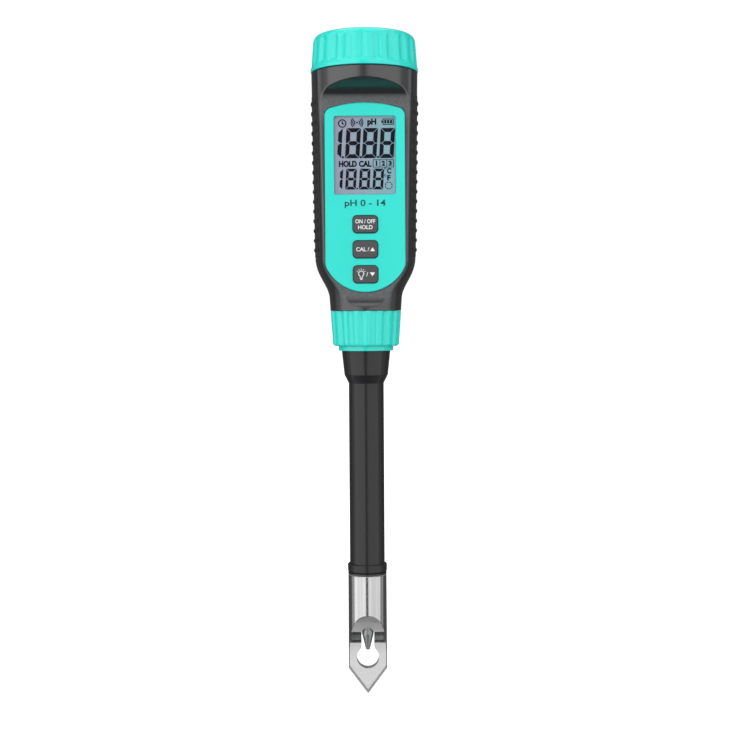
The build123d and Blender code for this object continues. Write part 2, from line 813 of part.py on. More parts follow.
with BuildPart() as battery_cap:
    with BuildSketch(Plane.XZ):
        with BuildLine():
            Polyline(
                (0, cap_low),
                (cap_lip_r, cap_low),
                (cap_lip_r, cap_low + cap_lip),
                (cap_side_r, cap_low + cap_lip + cap_lip_slope),
                (cap_top_r, cap_top - cap_edge),
            )
            RadiusArc((cap_top_r, cap_top - cap_edge), (cap_top_r - cap_edge, cap_top), -cap_edge)
            Polyline((cap_top_r - cap_edge, cap_top), (0, cap_top), (0, cap_low))
        make_face()
    revolve(axis=Axis.Z)
    # shallow flutes down the side, from the rounded edge to the lip
    cutter_r = flute_radius(cap_flute_width, cap_flute_depth)
    flute_foot = cap_low + cap_lip + flute_start
    flute_lean = cap_top - cap_edge - flute_foot
    for index in range(cap_flutes):
        foot = side_plane(360 / cap_flutes * index - 90)
        with BuildSketch(Plane(
            origin=foot.from_local_coords((cap_side_r - cap_flute_depth + cutter_r, flute_foot, 0)),
            x_dir=foot.z_dir,
            z_dir=foot.from_local_coords((cap_top_r - cap_side_r, flute_lean, 0)),
        )):
            Circle(cutter_r)
        extrude(amount=cap_height, mode=Mode.SUBTRACT)
    # thread bore and the pocket for the disc's post
    with BuildSketch(Plane.XY.offset(cap_low)):
        Circle(cap_bore_r)
    extrude(amount=ceiling_z - cap_low, mode=Mode.SUBTRACT)
    with BuildSketch(Plane.XY.offset(ceiling_z)):
        Circle(post_r + 2 * slip)
    extrude(amount=post_neck, mode=Mode.SUBTRACT)
    with BuildSketch(Plane.XY.offset(ceiling_z + post_neck)):
        Circle(post_head_r + 2 * slip)
    extrude(amount=post_head_height + 4 * slip, mode=Mode.SUBTRACT)
battery_cap.part.label = "battery_cap"
export_step(battery_cap.part, "parts/battery_cap.step")

# ------------------------------------------------------------------ locking collar

with BuildPart() as locking_collar:
    with BuildSketch(Plane.XZ):
        with BuildLine():
            Polyline(
                (hub_bore_r, collar_low),
                (step_r, collar_low),
                (step_r, step_top),
                (collar_r_low - collar_round, step_top),
            )
            RadiusArc(
                (collar_r_low - collar_round, step_top),
                (collar_r_low, step_top + collar_round),
                -collar_round,
            )
            Polyline(
                (collar_r_low, step_top + collar_round),
                (collar_r_high, collar_top),
                (collar_bore_r, collar_top),
                (collar_bore_r, lip_top),
                (hub_bore_r, lip_top),
                (hub_bore_r, collar_low),
            )
        make_face()
    revolve(axis=Axis.Z)
    cutter_r = flute_radius(collar_flute_width, collar_flute_depth)
    for index in range(collar_flutes):
        foot = side_plane(360 / collar_flutes * index - 90)
        with BuildSketch(Plane(
            origin=foot.from_local_coords((collar_r_low - collar_flute_depth + cutter_r, step_top, 0)),
            x_dir=foot.z_dir,
            z_dir=foot.from_local_coords((collar_r_high - collar_r_low, collar_height, 0)),
        )):
            Circle(cutter_r)
        extrude(amount=collar_height + 1, mode=Mode.SUBTRACT)
locking_collar.part.label = "locking_collar"
export_step(locking_collar.part, "parts/locking_collar.step")

# ------------------------------------------------------------------ probe

bore_low = nose_low + nose_plug
with BuildPart() as probe_body:
    with BuildSketch(Plane.XZ):
        with BuildLine():
            Polyline(
                (stem_r + slip, nose_low),
                (nose_r, nose_low),
                (nose_r, bead_low),
                (bead_r - bead_round, bead_low),
            )
            RadiusArc((bead_r - bead_round, bead_low), (bead_r, bead_low + bead_round), -bead_round)
            Line((bead_r, bead_low + bead_round), (bead_r, bead_top - bead_round))
            RadiusArc((bead_r, bead_top - bead_round), (bead_r - bead_round, bead_top), -bead_round)
            Polyline(
                (bead_r - bead_round, bead_top),
                (shaft_r, bead_top),
                (shaft_r, cone_low),
                (hub_r_low, cone_top),
                (hub_r_high, collar_low),
                (hub_r_high, flange_low),
                (flange_r, flange_low),
                (flange_r, flange_top),
                (shaft_bore_r, flange_top),
                (shaft_bore_r, bore_low),
                (stem_r + slip, bore_low),
                (stem_r + slip, nose_low),
            )
        make_face()
    revolve(axis=Axis.Z)
    # blind hole in the nose for the temperature sensor
    with BuildSketch(Plane.XY.offset(bore_low)):
        with Locations((stem_r + sensor_r + 4 * slip, 0)):
            Circle(sensor_r + slip)
    extrude(amount=-(bore_low - nose_low - sensor_wall), mode=Mode.SUBTRACT)
probe_body.part.label = "probe_body"
export_step(probe_body.part, "parts/probe_body.step")

with BuildPart() as temperature_sensor:
    with BuildSketch(Plane.XY.offset(nose_low + sensor_wall + 2 * slip)):
        with Locations((stem_r + sensor_r + 4 * slip, 0)):
            Circle(sensor_r)
    extrude(amount=sensor_length)
temperature_sensor.part.label = "temperature_sensor"
export_step(temperature_sensor.part, "parts/temperature_sensor.step")

bulb_top = bulb_low + bulb_length
with BuildPart() as electrode_glass:
    with BuildSketch(Plane.XZ):
        with BuildLine():
            Polyline(
                (0, tip_z),
                (tip_end_r, tip_z),
                (stem_r, tip_z + tip_height),
                (stem_r, bulb_low - 3),
                (bulb_r, bulb_low),
                (bulb_r, bulb_top),
                (bulb_r - glass_wall, bulb_top),
                (bulb_r - glass_wall, bulb_low + 0.3),
                (stem_r - glass_wall, bulb_low - 2.8),
                (stem_r - glass_wall, tip_z + tip_height),
                (tip_end_r, tip_z + 2.0),
                (0, tip_z + 2.0),
                close=True,
            )
        make_face()
    revolve(axis=Axis.Z)
electrode_glass.part.label = "electrode_glass"
export_step(electrode_glass.part, "parts/electrode_glass.step")

with BuildPart() as inner_electrode:
    with BuildSketch(Plane.XY.offset(tip_z + tip_height)):
        Circle(wire_r)
    extrude(amount=bulb_top - tip_z - tip_height)
    with BuildSketch(Plane.XY.offset(bulb_top - seal_length)):
        Circle(bulb_r - glass_wall - slip)
    extrude(amount=seal_length)
inner_electrode.part.label = "inner_electrode"
export_step(inner_electrode.part, "parts/inner_electrode.step")

with BuildPart() as reference_junction:
    with BuildSketch(Plane.XY.offset(nose_low - junction_height)):
        Circle(nose_r - junction_setback)
        Circle(stem_r + slip, mode=Mode.SUBTRACT)
    extrude(amount=junction_height)
reference_junction.part.label = "reference_junction"
export_step(reference_junction.part, "parts/reference_junction.step")

with BuildPart() as lead_wires:
    with BuildSketch(Plane.XY.offset(bulb_top)):
        with PolarLocations(bulb_r / 2, lead_count):
            Circle(lead_r)
    extrude(amount=flange_top - stub_length - bulb_top)
lead_wires.part.label = "lead_wires"
export_step(lead_wires.part, "parts/lead_wires.step")

with BuildPart() as probe_plug:
    with BuildSketch(Plane.XY.offset(flange_top - stub_length)):
        Circle(shaft_bore_r - slip)
    extrude(amount=stub_length)
    with BuildSketch(Plane.XY.offset(flange_top)):
        Circle(plug_r)
    extrude(amount=plug_height)
    chamfer(probe_plug.edges().sort_by(Axis.Z)[-1], plug_edge)
    with BuildSketch(Plane.XY.offset(plug_top - pin_root)):
        with PolarLocations(pin_circle_r, pin_count):
            Circle(pin_r)
    extrude(amount=pin_root, mode=Mode.SUBTRACT)
probe_plug.part.label = "probe_plug"
export_step(probe_plug.part, "parts/probe_plug.step")

with BuildPart() as plug_pins:
    with BuildSketch(Plane.XY.offset(plug_top - pin_root)):
        with PolarLocations(pin_circle_r, pin_count):
            Circle(pin_r)
    extrude(amount=pin_root + pin_reach + socket_low - plug_top)
plug_pins.part.label = "plug_pins"
export_step(plug_pins.part, "parts/plug_pins.step")

with BuildPart() as plug_seal:
    with BuildSketch(Plane.XY.offset(flange_top)):
        Circle(flange_r)
        Circle(plug_r + slip, mode=Mode.SUBTRACT)
    extrude(amount=seal_height)
plug_seal.part.label = "plug_seal"
export_step(plug_seal.part, "parts/plug_seal.step")

# ------------------------------------------------------------------ guard and its washer

with BuildPart() as guard_washer:
    with BuildSketch(Plane.XY.offset(washer_low)):
        Circle(washer_r)
        Circle(nose_bore_r, mode=Mode.SUBTRACT)
    extrude(amount=washer_height)
    fillet(guard_washer.edges().filter_by(GeomType.CIRCLE).sort_by(SortBy.RADIUS)[-2:], washer_edge)
guard_washer.part.label = "guard_washer"
export_step(guard_washer.part, "parts/guard_washer.step")

scoop_run = scoop_high - scoop_low
scoop_depth = guard_r - blade_half
scoop_r = (scoop_run**2 + scoop_depth**2) / (2 * scoop_depth)
nose_chamber_low = nose_low - junction_height - junction_room
scoop_turn = math.asin(scoop_run / scoop_r)
with BuildPart() as spear_guard:
    with BuildSketch(Plane.XY):
        Circle(guard_r)
    extrude(amount=guard_length)
    chamfer(spear_guard.edges().sort_by(Axis.Z)[-1], guard_edge)
    # hollowed front and back, each running into the flat blade
    with BuildSketch(Plane.YZ):
        for side in (-1, 1):
            with BuildLine():
                Polyline((side * blade_half, -1), (side * blade_half, scoop_low))
                ThreePointArc(
                    (side * blade_half, scoop_low),
                    (
                        side * (blade_half + scoop_r * (1 - math.cos(scoop_turn / 2))),
                        scoop_low + scoop_r * math.sin(scoop_turn / 2),
                    ),
                    (side * guard_r, scoop_high),
                )
                Polyline(
                    (side * guard_r, scoop_high),
                    (side * (guard_r + 2), scoop_high),
                    (side * (guard_r + 2), -1),
                    (side * blade_half, -1),
                )
            make_face()
    extrude(amount=guard_r + 1, both=True, mode=Mode.SUBTRACT)
    # pointed blade with bevelled edges
    with BuildSketch(Plane.XZ):
        for side in (-1, 1):
            with BuildLine():
                Polyline(
                    (0, 0),
                    (side * guard_r, blade_point),
                    (side * (guard_r + 2), blade_point),
                    (side * (guard_r + 2), -1),
                    (0, -1),
                    close=True,
                )
            make_face()
    extrude(amount=guard_r, both=True, mode=Mode.SUBTRACT)
    straight_edges = spear_guard.edges().filter_by(GeomType.LINE)
    point_edges = straight_edges.filter_by_position(Axis.Z, 0, blade_point / 2 + 1)
    chamfer([edge for edge in point_edges if abs(abs(edge.center().Y) - blade_half) < slip], blade_bevel)
    # keyhole window
    with BuildSketch(Plane.XZ) as keyhole:
        with Locations((0, keyhole_z)):
            Circle(keyhole_r)
        with Locations((0, (keyhole_z + slot_top - slot_half) / 2)):
            Rectangle(2 * slot_half, slot_top - slot_half - keyhole_z)
        with Locations((0, slot_top - slot_half)):
            Circle(slot_half)
        waist = keyhole.vertices().filter_by_position(Axis.Y, keyhole_z + slot_half, keyhole_z + keyhole_r)
        fillet(waist, keyhole_blend)
    extrude(amount=guard_r, both=True, mode=Mode.SUBTRACT)
    # rinse pockets across the front and the back
    with BuildSketch(Plane.YZ):
        with Locations((-rinse_y, rinse_z), (rinse_y, rinse_z)):
            Circle(rinse_r)
    extrude(amount=rinse_half, both=True, mode=Mode.SUBTRACT)
    # passage for the glass, and the chamber that screws over the probe's nose
    with BuildSketch(Plane.XY.offset(tip_z)):
        Circle(stem_r + gap)
    extrude(amount=guard_length - tip_z, mode=Mode.SUBTRACT)
    with BuildSketch(Plane.XY.offset(nose_chamber_low)):
        Circle(nose_bore_r)
    extrude(amount=guard_length - nose_chamber_low, mode=Mode.SUBTRACT)
spear_guard.part.label = "spear_guard"
export_step(spear_guard.part, "parts/spear_guard.step")
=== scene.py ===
import math

import bpy
import numpy as np
from mathutils import Euler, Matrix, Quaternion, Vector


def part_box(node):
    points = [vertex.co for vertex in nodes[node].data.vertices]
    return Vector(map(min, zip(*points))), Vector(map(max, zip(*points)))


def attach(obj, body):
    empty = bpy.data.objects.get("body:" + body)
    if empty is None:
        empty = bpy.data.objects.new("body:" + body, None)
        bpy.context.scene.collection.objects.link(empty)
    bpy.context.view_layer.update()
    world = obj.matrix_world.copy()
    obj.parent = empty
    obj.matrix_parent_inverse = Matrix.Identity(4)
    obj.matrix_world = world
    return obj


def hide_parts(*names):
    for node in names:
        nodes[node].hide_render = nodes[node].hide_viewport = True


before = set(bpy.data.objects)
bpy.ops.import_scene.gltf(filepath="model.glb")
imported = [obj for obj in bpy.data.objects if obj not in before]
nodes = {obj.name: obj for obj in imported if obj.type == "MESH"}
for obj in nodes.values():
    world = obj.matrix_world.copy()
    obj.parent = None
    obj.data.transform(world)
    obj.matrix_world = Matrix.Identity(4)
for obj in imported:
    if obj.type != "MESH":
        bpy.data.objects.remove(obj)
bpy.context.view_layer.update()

scene = bpy.context.scene
mm = 0.001

# ---------------------------------------------------------------- studio
# A pale floor under an even white surround, two tall softboxes either side of the viewer with a
# dim strip beside each, a wide one overhead and two weak fills behind that draw no streaks.

floor_size = 60.0
# the probe and its guard come out downwards by 13.5 mm, so the floor lies below their reach
floor_drop = 14.5 * mm
floor_mesh = bpy.data.meshes.new("studio_floor")
floor_corners = np.array([(-1, -1, 0), (1, -1, 0), (1, 1, 0), (-1, 1, 0)]) * floor_size / 2
floor_corners[:, 2] -= floor_drop
floor_mesh.from_pydata(floor_corners.tolist(), [], [(0, 1, 2, 3)])
floor = bpy.data.objects.new("studio_floor", floor_mesh)
scene.collection.objects.link(floor)
floor.visible_glossy = False

# near the pen the floor is plain paint that takes a soft shadow; further out it glows white
floor_paint = bpy.data.materials.new("studio_floor_paint")
floor_paint.use_nodes = True
floor_tree = floor_paint.node_tree
floor_shader = floor_tree.nodes["Principled BSDF"]
floor_shader.inputs["Base Color"].default_value = (0.55, 0.55, 0.55, 1)
floor_shader.inputs["Roughness"].default_value = 0.9
floor_shader.inputs["Specular IOR Level"].default_value = 0.0
floor_shader.inputs["Emission Color"].default_value = (1, 1, 1, 1)
floor_place = floor_tree.nodes.new("ShaderNodeTexCoord")
floor_reach = floor_tree.nodes.new("ShaderNodeVectorMath")
floor_reach.operation = "LENGTH"
floor_glow = floor_tree.nodes.new("ShaderNodeMapRange")
floor_glow.interpolation_type = "SMOOTHSTEP"
floor_glow.inputs["From Min"].default_value = 0.02
floor_glow.inputs["From Max"].default_value = 0.5
floor_glow.inputs["To Min"].default_value = 0.62
floor_glow.inputs["To Max"].default_value = 1.2
floor_tree.links.new(floor_place.outputs["Object"], floor_reach.inputs[0])
floor_tree.links.new(floor_reach.outputs["Value"], floor_glow.inputs["Value"])
floor_seen = floor_tree.nodes.new("ShaderNodeLightPath")
floor_level = floor_tree.nodes.new("ShaderNodeMapRange")
floor_level.inputs["To Min"].default_value = 0.05
floor_tree.links.new(floor_seen.outputs["Is Camera Ray"], floor_level.inputs["Value"])
floor_tree.links.new(floor_glow.outputs["Result"], floor_level.inputs["To Max"])
floor_tree.links.new(floor_level.outputs["Result"], floor_shader.inputs["Emission Strength"])
floor_mesh.materials.append(floor_paint)

world = bpy.data.worlds.new("studio_surround")
world.use_nodes = True
scene.world = world
sky = world.node_tree
sky_seen = sky.nodes.new("ShaderNodeLightPath")
sky_mirrored = sky.nodes.new("ShaderNodeMapRange")
sky_mirrored.inputs["To Min"].default_value = 0.08
sky_mirrored.inputs["To Max"].default_value = 0.13
sky.links.new(sky_seen.outputs["Is Glossy Ray"], sky_mirrored.inputs["Value"])
sky_level = sky.nodes.new("ShaderNodeMapRange")
sky_level.inputs["To Max"].default_value = 1.05
sky.links.new(sky_seen.outputs["Is Camera Ray"], sky_level.inputs["Value"])
sky.links.new(sky_mirrored.outputs["Result"], sky_level.inputs["To Min"])
sky.links.new(sky_level.outputs["Result"], sky.nodes["Background"].inputs["Strength"])
sky.nodes["Background"].inputs["Color"].default_value = (1, 1, 1, 1)


def softbox(name, azimuth, height, distance, width, tall, radiance, streaks=True):
    """Add an area light that faces the pen from that azimuth, in degrees round from the viewer."""
    lamp = bpy.data.lights.new(name, "AREA")
    lamp.shape = "RECTANGLE"
    lamp.size = width
    lamp.size_y = tall
    lamp.energy = radiance * math.pi * width * tall
    box = bpy.data.objects.new(name, lamp)
    turn = math.radians(azimuth)
    box.location = (distance * math.sin(turn), -distance * math.cos(turn), height)
    box.rotation_euler = (math.pi / 2, 0, turn)
    box.visible_camera = False
    box.visible_glossy = streaks
    scene.collection.objects.link(box)
    return box


# each has its azimuth in degrees, then its height, distance, width and length in metres, then its
# radiance
softbox("softbox_left", -48, 0.16, 0.6, 0.94, 1.3, 1.78)
softbox("softbox_right", 44, 0.16, 0.6, 1.0, 1.3, 1.42)
softbox("side_strip_left", -98, 0.16, 0.6, 0.24, 1.3, 0.5)
softbox("side_strip_right", 98, 0.16, 0.6, 0.24, 1.3, 0.4)
softbox("fill_back_left", -140, 0.2, 0.7, 0.5, 0.9, 0.9, streaks=False)
softbox("fill_back_right", 140, 0.2, 0.7, 0.5, 0.9, 0.9, streaks=False)
overhead = softbox("softbox_overhead", 0, 0.95, 0.05, 0.9, 0.9, 1.7)
overhead.rotation_euler = (0, 0, 0)

lens_mm = 67.0
viewer_distance = 0.509
horizon_height = 0.1404
camera_lean = math.radians(-0.36)
camera_dip = math.radians(1.265)
camera_data = bpy.data.cameras.new("camera")
camera_data.lens = lens_mm
camera_data.sensor_width = 36.0
camera_data.shift_y = -0.0205
camera_data.clip_start = 0.01
camera = bpy.data.objects.new("camera", camera_data)
camera.location = (-0.0004, -viewer_distance, horizon_height)
camera.rotation_mode = "QUATERNION"
dipped_view = Euler((math.pi / 2 - camera_dip, 0, 0)).to_quaternion()
camera.rotation_quaternion = dipped_view @ Quaternion((0, 0, 1), camera_lean)
scene.collection.objects.link(camera)
scene.camera = camera
scene.view_settings.view_transform = "Standard"

# ---------------------------------------------------------------- housing and thread ring
# The housing is one injection moulding of satin black plastic.  Its barrel and neck are smooth;
# the flat round the panel comes from a spark-eroded part of the mould, so it is grainy and paler.


def finish(name, colour, roughness, metallic=0.0):
    """Return a new material, its node tree and its shader, with the constant values set."""
    material = bpy.data.materials.new(name)
    material.use_nodes = True
    shader = material.node_tree.nodes["Principled BSDF"]
    shader.inputs["Base Color"].default_value = (*colour, 1)
    shader.inputs["Roughness"].default_value = roughness
    shader.inputs["Metallic"].default_value = metallic
    return material, material.node_tree, shader


def grain(tree, size, detail=3.0, stretch=(1, 1, 1)):
    """Noise in object space with features about this size in metres, stretched along the axes."""
    place = tree.nodes.new("ShaderNodeTexCoord")
    scale = tree.nodes.new("ShaderNodeMapping")
    scale.inputs["Scale"].default_value = stretch
    noise = tree.nodes.new("ShaderNodeTexNoise")
    noise.inputs["Scale"].default_value = 0.5 / size
    noise.inputs["Detail"].default_value = detail
    tree.links.new(place.outputs["Object"], scale.inputs["Vector"])
    tree.links.new(scale.outputs["Vector"], noise.inputs["Vector"])
    return noise.outputs["Fac"]


def spread(tree, source, low, high, start=0.3, end=0.7):
    """Map a factor between start and end onto low and high."""
    node = tree.nodes.new("ShaderNodeMapRange")
    node.inputs["From Min"].default_value = start
    node.inputs["From Max"].default_value = end
    node.inputs["To Min"].default_value = low
    node.inputs["To Max"].default_value = high
    tree.links.new(source, node.inputs["Value"])
    return node.outputs["Result"]


def along(tree, axis, low, high, start=0.0, end=1.0):
    """A factor from start to end as the object's X, Y or Z goes from low to high, in metres."""
    place = tree.nodes.new("ShaderNodeTexCoord")
    parts = tree.nodes.new("ShaderNodeSeparateXYZ")
    tree.links.new(place.outputs["Object"], parts.inputs["Vector"])
    return spread(tree, parts.outputs[axis], start, end, low, high)


def combine(tree, operation, first, second):
    """One arithmetic operation on two factors, or on a factor and a number."""
    node = tree.nodes.new("ShaderNodeMath")
    node.operation = operation
    for socket, value in zip(node.inputs, (first, second)):
        if isinstance(value, (int, float)):
            socket.default_value = value
        else:
            tree.links.new(value, socket)
    return node.outputs["Value"]


def blend_colours(tree, factor, dark, light):
    """Mix two colours by a factor; each is three numbers or the output of an earlier mix."""
    node = tree.nodes.new("ShaderNodeMix")
    node.data_type = "RGBA"
    for key, colour in (("A", dark), ("B", light)):
        if isinstance(colour, tuple):
            node.inputs[key].default_value = (*colour, 1)
        else:
            tree.links.new(colour, node.inputs[key])
    tree.links.new(factor, node.inputs["Factor"])
    return node.outputs["Result"]


def emboss(tree, shader, height, depth, strength=1.0):
    """Bump the surface by a height factor of this depth in metres, over any bump already there."""
    node = tree.nodes.new("ShaderNodeBump")
    node.inputs["Distance"].default_value = depth
    node.inputs["Strength"].default_value = strength
    tree.links.new(height, node.inputs["Height"])
    if shader.inputs["Normal"].is_linked:
        tree.links.new(shader.inputs["Normal"].links[0].from_socket, node.inputs["Normal"])
    tree.links.new(node.outputs["Normal"], shader.inputs["Normal"])


def moulded(name, colour, roughness, grain_size, grain_depth, tone=0.12):
    """Moulded plastic or rubber: fine grain in its surface, slow changes of tone and of gloss."""
    material, tree, shader = finish(name, colour, roughness)
    slow = grain(tree, 0.012, detail=2.0)
    dark = tuple(part * (1 - tone) for part in colour)
    light = tuple(min(1.0, part * (1 + tone)) for part in colour)
    tree.links.new(blend_colours(tree, slow, dark, light), shader.inputs["Base Color"])
    fine = grain(tree, grain_size, detail=4.0)
    gloss = spread(tree, fine, roughness * 0.85, roughness * 1.15)
    tree.links.new(gloss, shader.inputs["Roughness"])
    emboss(tree, shader, fine, grain_depth)
    return material, tree, shader


def paint(material, *node_names):
    """Give these CAD nodes this material in all their slots."""
    for node_name in node_names:
        mesh = nodes[node_name].data
        for index in range(len(mesh.materials)):
            mesh.materials[index] = material
        if not mesh.materials:
            mesh.materials.append(material)


flat_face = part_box("face_panel")[1][1]
smooth_dark, smooth_black = (0.011, 0.0115, 0.013), (0.014, 0.0145, 0.016)
spark_dark, spark_black = (0.030, 0.034, 0.037), (0.088, 0.096, 0.102)
housing_black, housing_tree, housing_shader = finish("housing_black", smooth_black, 0.27)
# the flat is found by its depth; below the barrel the neck reaches that depth and stays smooth
neck_top = 146.5 * mm
flat_front = along(housing_tree, "Y", flat_face - 1.6 * mm, flat_face - 0.3 * mm)
flat_back = along(housing_tree, "Y", flat_face + 1.0 * mm, flat_face + 0.5 * mm)
above_neck = along(housing_tree, "Z", neck_top, neck_top + 3 * mm)
flat_depth = combine(housing_tree, "MULTIPLY", flat_front, flat_back)
flat_zone = combine(housing_tree, "MULTIPLY", flat_depth, above_neck)
# along the panel's sides the spark grain is faded to three tenths, so the strips there are darker, smoother
# and glossier
panel_bottom, panel_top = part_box("face_panel")[0][2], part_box("face_panel")[1][2]
over_bottom = along(housing_tree, "Z", panel_bottom + 4 * mm, panel_bottom + 14 * mm)
under_top = along(housing_tree, "Z", panel_top - 2 * mm, panel_top - 9 * mm)
beside_panel = combine(housing_tree, "MULTIPLY", over_bottom, under_top)
spark_strength = spread(housing_tree, beside_panel, 1.0, 0.3, 0.0, 1.0)
spark = combine(housing_tree, "MULTIPLY", flat_zone, spark_strength)
housing_cloud = grain(housing_tree, 12 * mm)
smooth_tone = blend_colours(housing_tree, housing_cloud, smooth_dark, smooth_black)
spark_grain = grain(housing_tree, 0.28 * mm, detail=4.0)
spark_level = spread(housing_tree, spark_grain, 0, 1)
spark_tone = blend_colours(housing_tree, spark_level, spark_dark, spark_black)
housing_tone = blend_colours(housing_tree, spark, smooth_tone, spark_tone)
housing_tree.links.new(housing_tone, housing_shader.inputs["Base Color"])
housing_shader.inputs["Specular IOR Level"].default_value = 0.86
housing_tree.links.new(spread(housing_tree, spark, 0.25, 0.55, 0.0, 1.0), housing_shader.inputs["Roughness"])
emboss(housing_tree, housing_shader, grain(housing_tree, 0.0004), 0.0015 * mm)
emboss(housing_tree, housing_shader, combine(housing_tree, "MULTIPLY", spark_grain, spark), 0.16 * mm)
paint(housing_black, "housing", "thread_ring")

# ---------------------------------------------------------------- side grips and panel gasket
# Two soft matt rubber pads with moulded ribs, pressed into pockets in the barrel's sides, and
# the thin dark gasket that holds the face panel on.

grip_black = (0.021, 0.0212, 0.0215)
grip_rubber, _, grip_shader = moulded("grip_rubber", grip_black, 0.62, 0.16 * mm, 0.02 * mm)
grip_shader.inputs["Specular IOR Level"].default_value = 0.3
paint(grip_rubber, "grip_left", "grip_right", "panel_gasket")

# ---------------------------------------------------------------- battery cap
# A screw cap moulded in glossy teal plastic, with a ring of spoon-ended flutes for the fingers
# above its plain lip, a rounded top edge, a wide bore and the pocket for the contact disc's post.


def soft_floor(value, softness):
    """The larger of a value and nought, with the corner rounded: half of v + sqrt(v^2 + s^2)."""
    return (value + np.sqrt(value**2 + softness**2)) / 2


def corner(before, middle, after, radius, steps=8):
    """Round a corner of a profile: points of a quadratic curve between its two sides."""
    before, middle, after = (np.array(point, dtype=float) for point in (before, middle, after))
    start = middle + (before - middle) / np.linalg.norm(before - middle) * radius
    end = middle + (after - middle) / np.linalg.norm(after - middle) * radius
    t = np.linspace(0, 1, steps)[:, None]
    return (1 - t) ** 2 * start + 2 * t * (1 - t) * middle + t**2 * end


def smooth_profile(points, radii, longest):
    """Profile through these points with each corner rounded and no side longer than longest."""
    points = [np.array(point, dtype=float) for point in points]
    rows = [points[0][None, :]]
    for index in range(1, len(points) - 1):
        if radii[index] > 0:
            rows.append(corner(points[index - 1], points[index], points[index + 1], radii[index]))
        else:
            rows.append(points[index][None, :])
    rows.append(points[-1][None, :])
    path = np.concatenate(rows)
    divided = [path[:1]]
    for start, end in zip(path[:-1], path[1:]):
        count = max(1, math.ceil(np.linalg.norm(end - start) / longest))
        divided.append(start + (end - start) * np.linspace(0, 1, count + 1)[1:, None])
    return np.concatenate(divided)


def fluted_turning(name, profile, turns, hollow, closed):
    """Turn a profile of radius and height round the pen's axis, with flutes cut into it.

    A point at angle a and at profile row r lies at radius r - hollow(a, radius, height).  A closed
    profile joins its last row to its first; an open one starts and ends on the axis, in a pole.
    """
    angle = np.linspace(0, 2 * math.pi, turns, endpoint=False)
    rows = profile if closed else profile[1:-1]
    radius, height = rows[:, 0][:, None], rows[:, 1][:, None]
    reach = radius - hollow(angle[None, :], radius, height)
    grid = np.stack([reach * np.sin(angle), -reach * np.cos(angle), height + 0 * reach], axis=2)
    points = grid.reshape(-1, 3)
    count = len(rows)
    row = np.arange(count if closed else count - 1)[:, None]
    column = np.arange(turns)[None, :]
    below, beside = (row + 1) % count, (column + 1) % turns
    here, under = row * turns, below * turns
    quads = np.stack([here + column, under + column, under + beside, here + beside], axis=2)
    faces = quads.reshape(-1, 4).tolist()
    if not closed:
        poles = np.array([[0, 0, profile[0][1]], [0, 0, profile[-1][1]]])
        points = np.concatenate([points, poles])
        near, far = count * turns, (count - 1) * turns
        ring = np.arange(turns)
        following = (ring + 1) % turns
        faces += np.stack([np.full(turns, near), ring, following], axis=1).tolist()
        faces += np.stack([np.full(turns, near + 1), far + following, far + ring], axis=1).tolist()
    mesh = bpy.data.meshes.new(name)
    mesh.from_pydata((points * mm).tolist(), [], faces)
    mesh.polygons.foreach_set("use_smooth", np.ones(len(faces), dtype=bool))
    mesh.set_sharp_from_angle(angle=math.radians(38))
    mesh.update()
    piece = bpy.data.objects.new(name, mesh)
    scene.collection.objects.link(piece)
    return piece


def spoon_flutes(count, first_degrees, width, depth, ends, runs, skin):
    """Make the function of angle, radius and height that cuts flutes with rounded ends.

    Across a flute the depth falls as 1 - (2 u / width)^2, u being the distance from its middle;
    near its low and high ends it falls too, by the square of the way along the end's run.  Only
    what lies outside the skin radius is cut.
    """
    pitch = 2 * math.pi / count

    def hollow(angle, radius, height):
        turn = np.mod(angle - math.radians(first_degrees) + pitch / 2, pitch) - pitch / 2
        across = 2 * turn * radius / width
        foot = np.maximum(ends[0] + runs[0] - height, 0) / runs[0]
        head = np.maximum(height - ends[1] + runs[1], 0) / runs[1]
        trough = soft_floor(1 - across**2 - foot**2 - head**2, 0.05) - 0.001
        return np.where(radius > skin, depth * np.maximum(trough, 0), 0.0)

    return hollow


flute_steps, longest_side = 20, 0.8
cap_bottom, cap_top = (corner_point[2] / mm for corner_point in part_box("battery_cap"))
lip_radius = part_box("battery_cap")[1][0] / mm
side_low_radius, side_high_radius = lip_radius - 0.25, lip_radius - 1.15
lip_height, edge_radius = 1.3, 3.0
bore_radius, ceiling = 17.3, cap_top - 5.6
pocket_radius, pocket_head_radius = 3.1, 4.7
neck_height, head_height = 1.0, 1.4
cap_points = [
    (0, cap_top),
    (side_high_radius, cap_top),
    (side_low_radius, cap_bottom + lip_height + 0.4),
    (lip_radius, cap_bottom + lip_height),
    (lip_radius, cap_bottom),
    (bore_radius, cap_bottom),
    (bore_radius, ceiling),
    (pocket_radius, ceiling),
    (pocket_radius, ceiling + neck_height),
    (pocket_head_radius, ceiling + neck_height),
    (pocket_head_radius, ceiling + neck_height + head_height),
    (0, ceiling + neck_height + head_height),
]
cap_radii = [0, edge_radius, 0.2, 0.18, 0.3, 0.2, 0, 0, 0, 0, 0, 0]
cap_profile = smooth_profile(cap_points, cap_radii, longest_side)
cap_count, cap_flute_width, cap_flute_depth, cap_skin = 22, 3.9, 0.74, 18.0
cap_ends = (cap_bottom + 1.9, cap_top - 1.5)
cap_flutes = spoon_flutes(
    cap_count, -2.6, cap_flute_width, cap_flute_depth, cap_ends, (0.9, 2.6), cap_skin
)
fluted_cap = fluted_turning("fluted_cap", cap_profile, cap_count * flute_steps, cap_flutes, closed=False)
teal = (0.022, 0.690, 0.600)
teal_dark = (0.016, 0.655, 0.560)


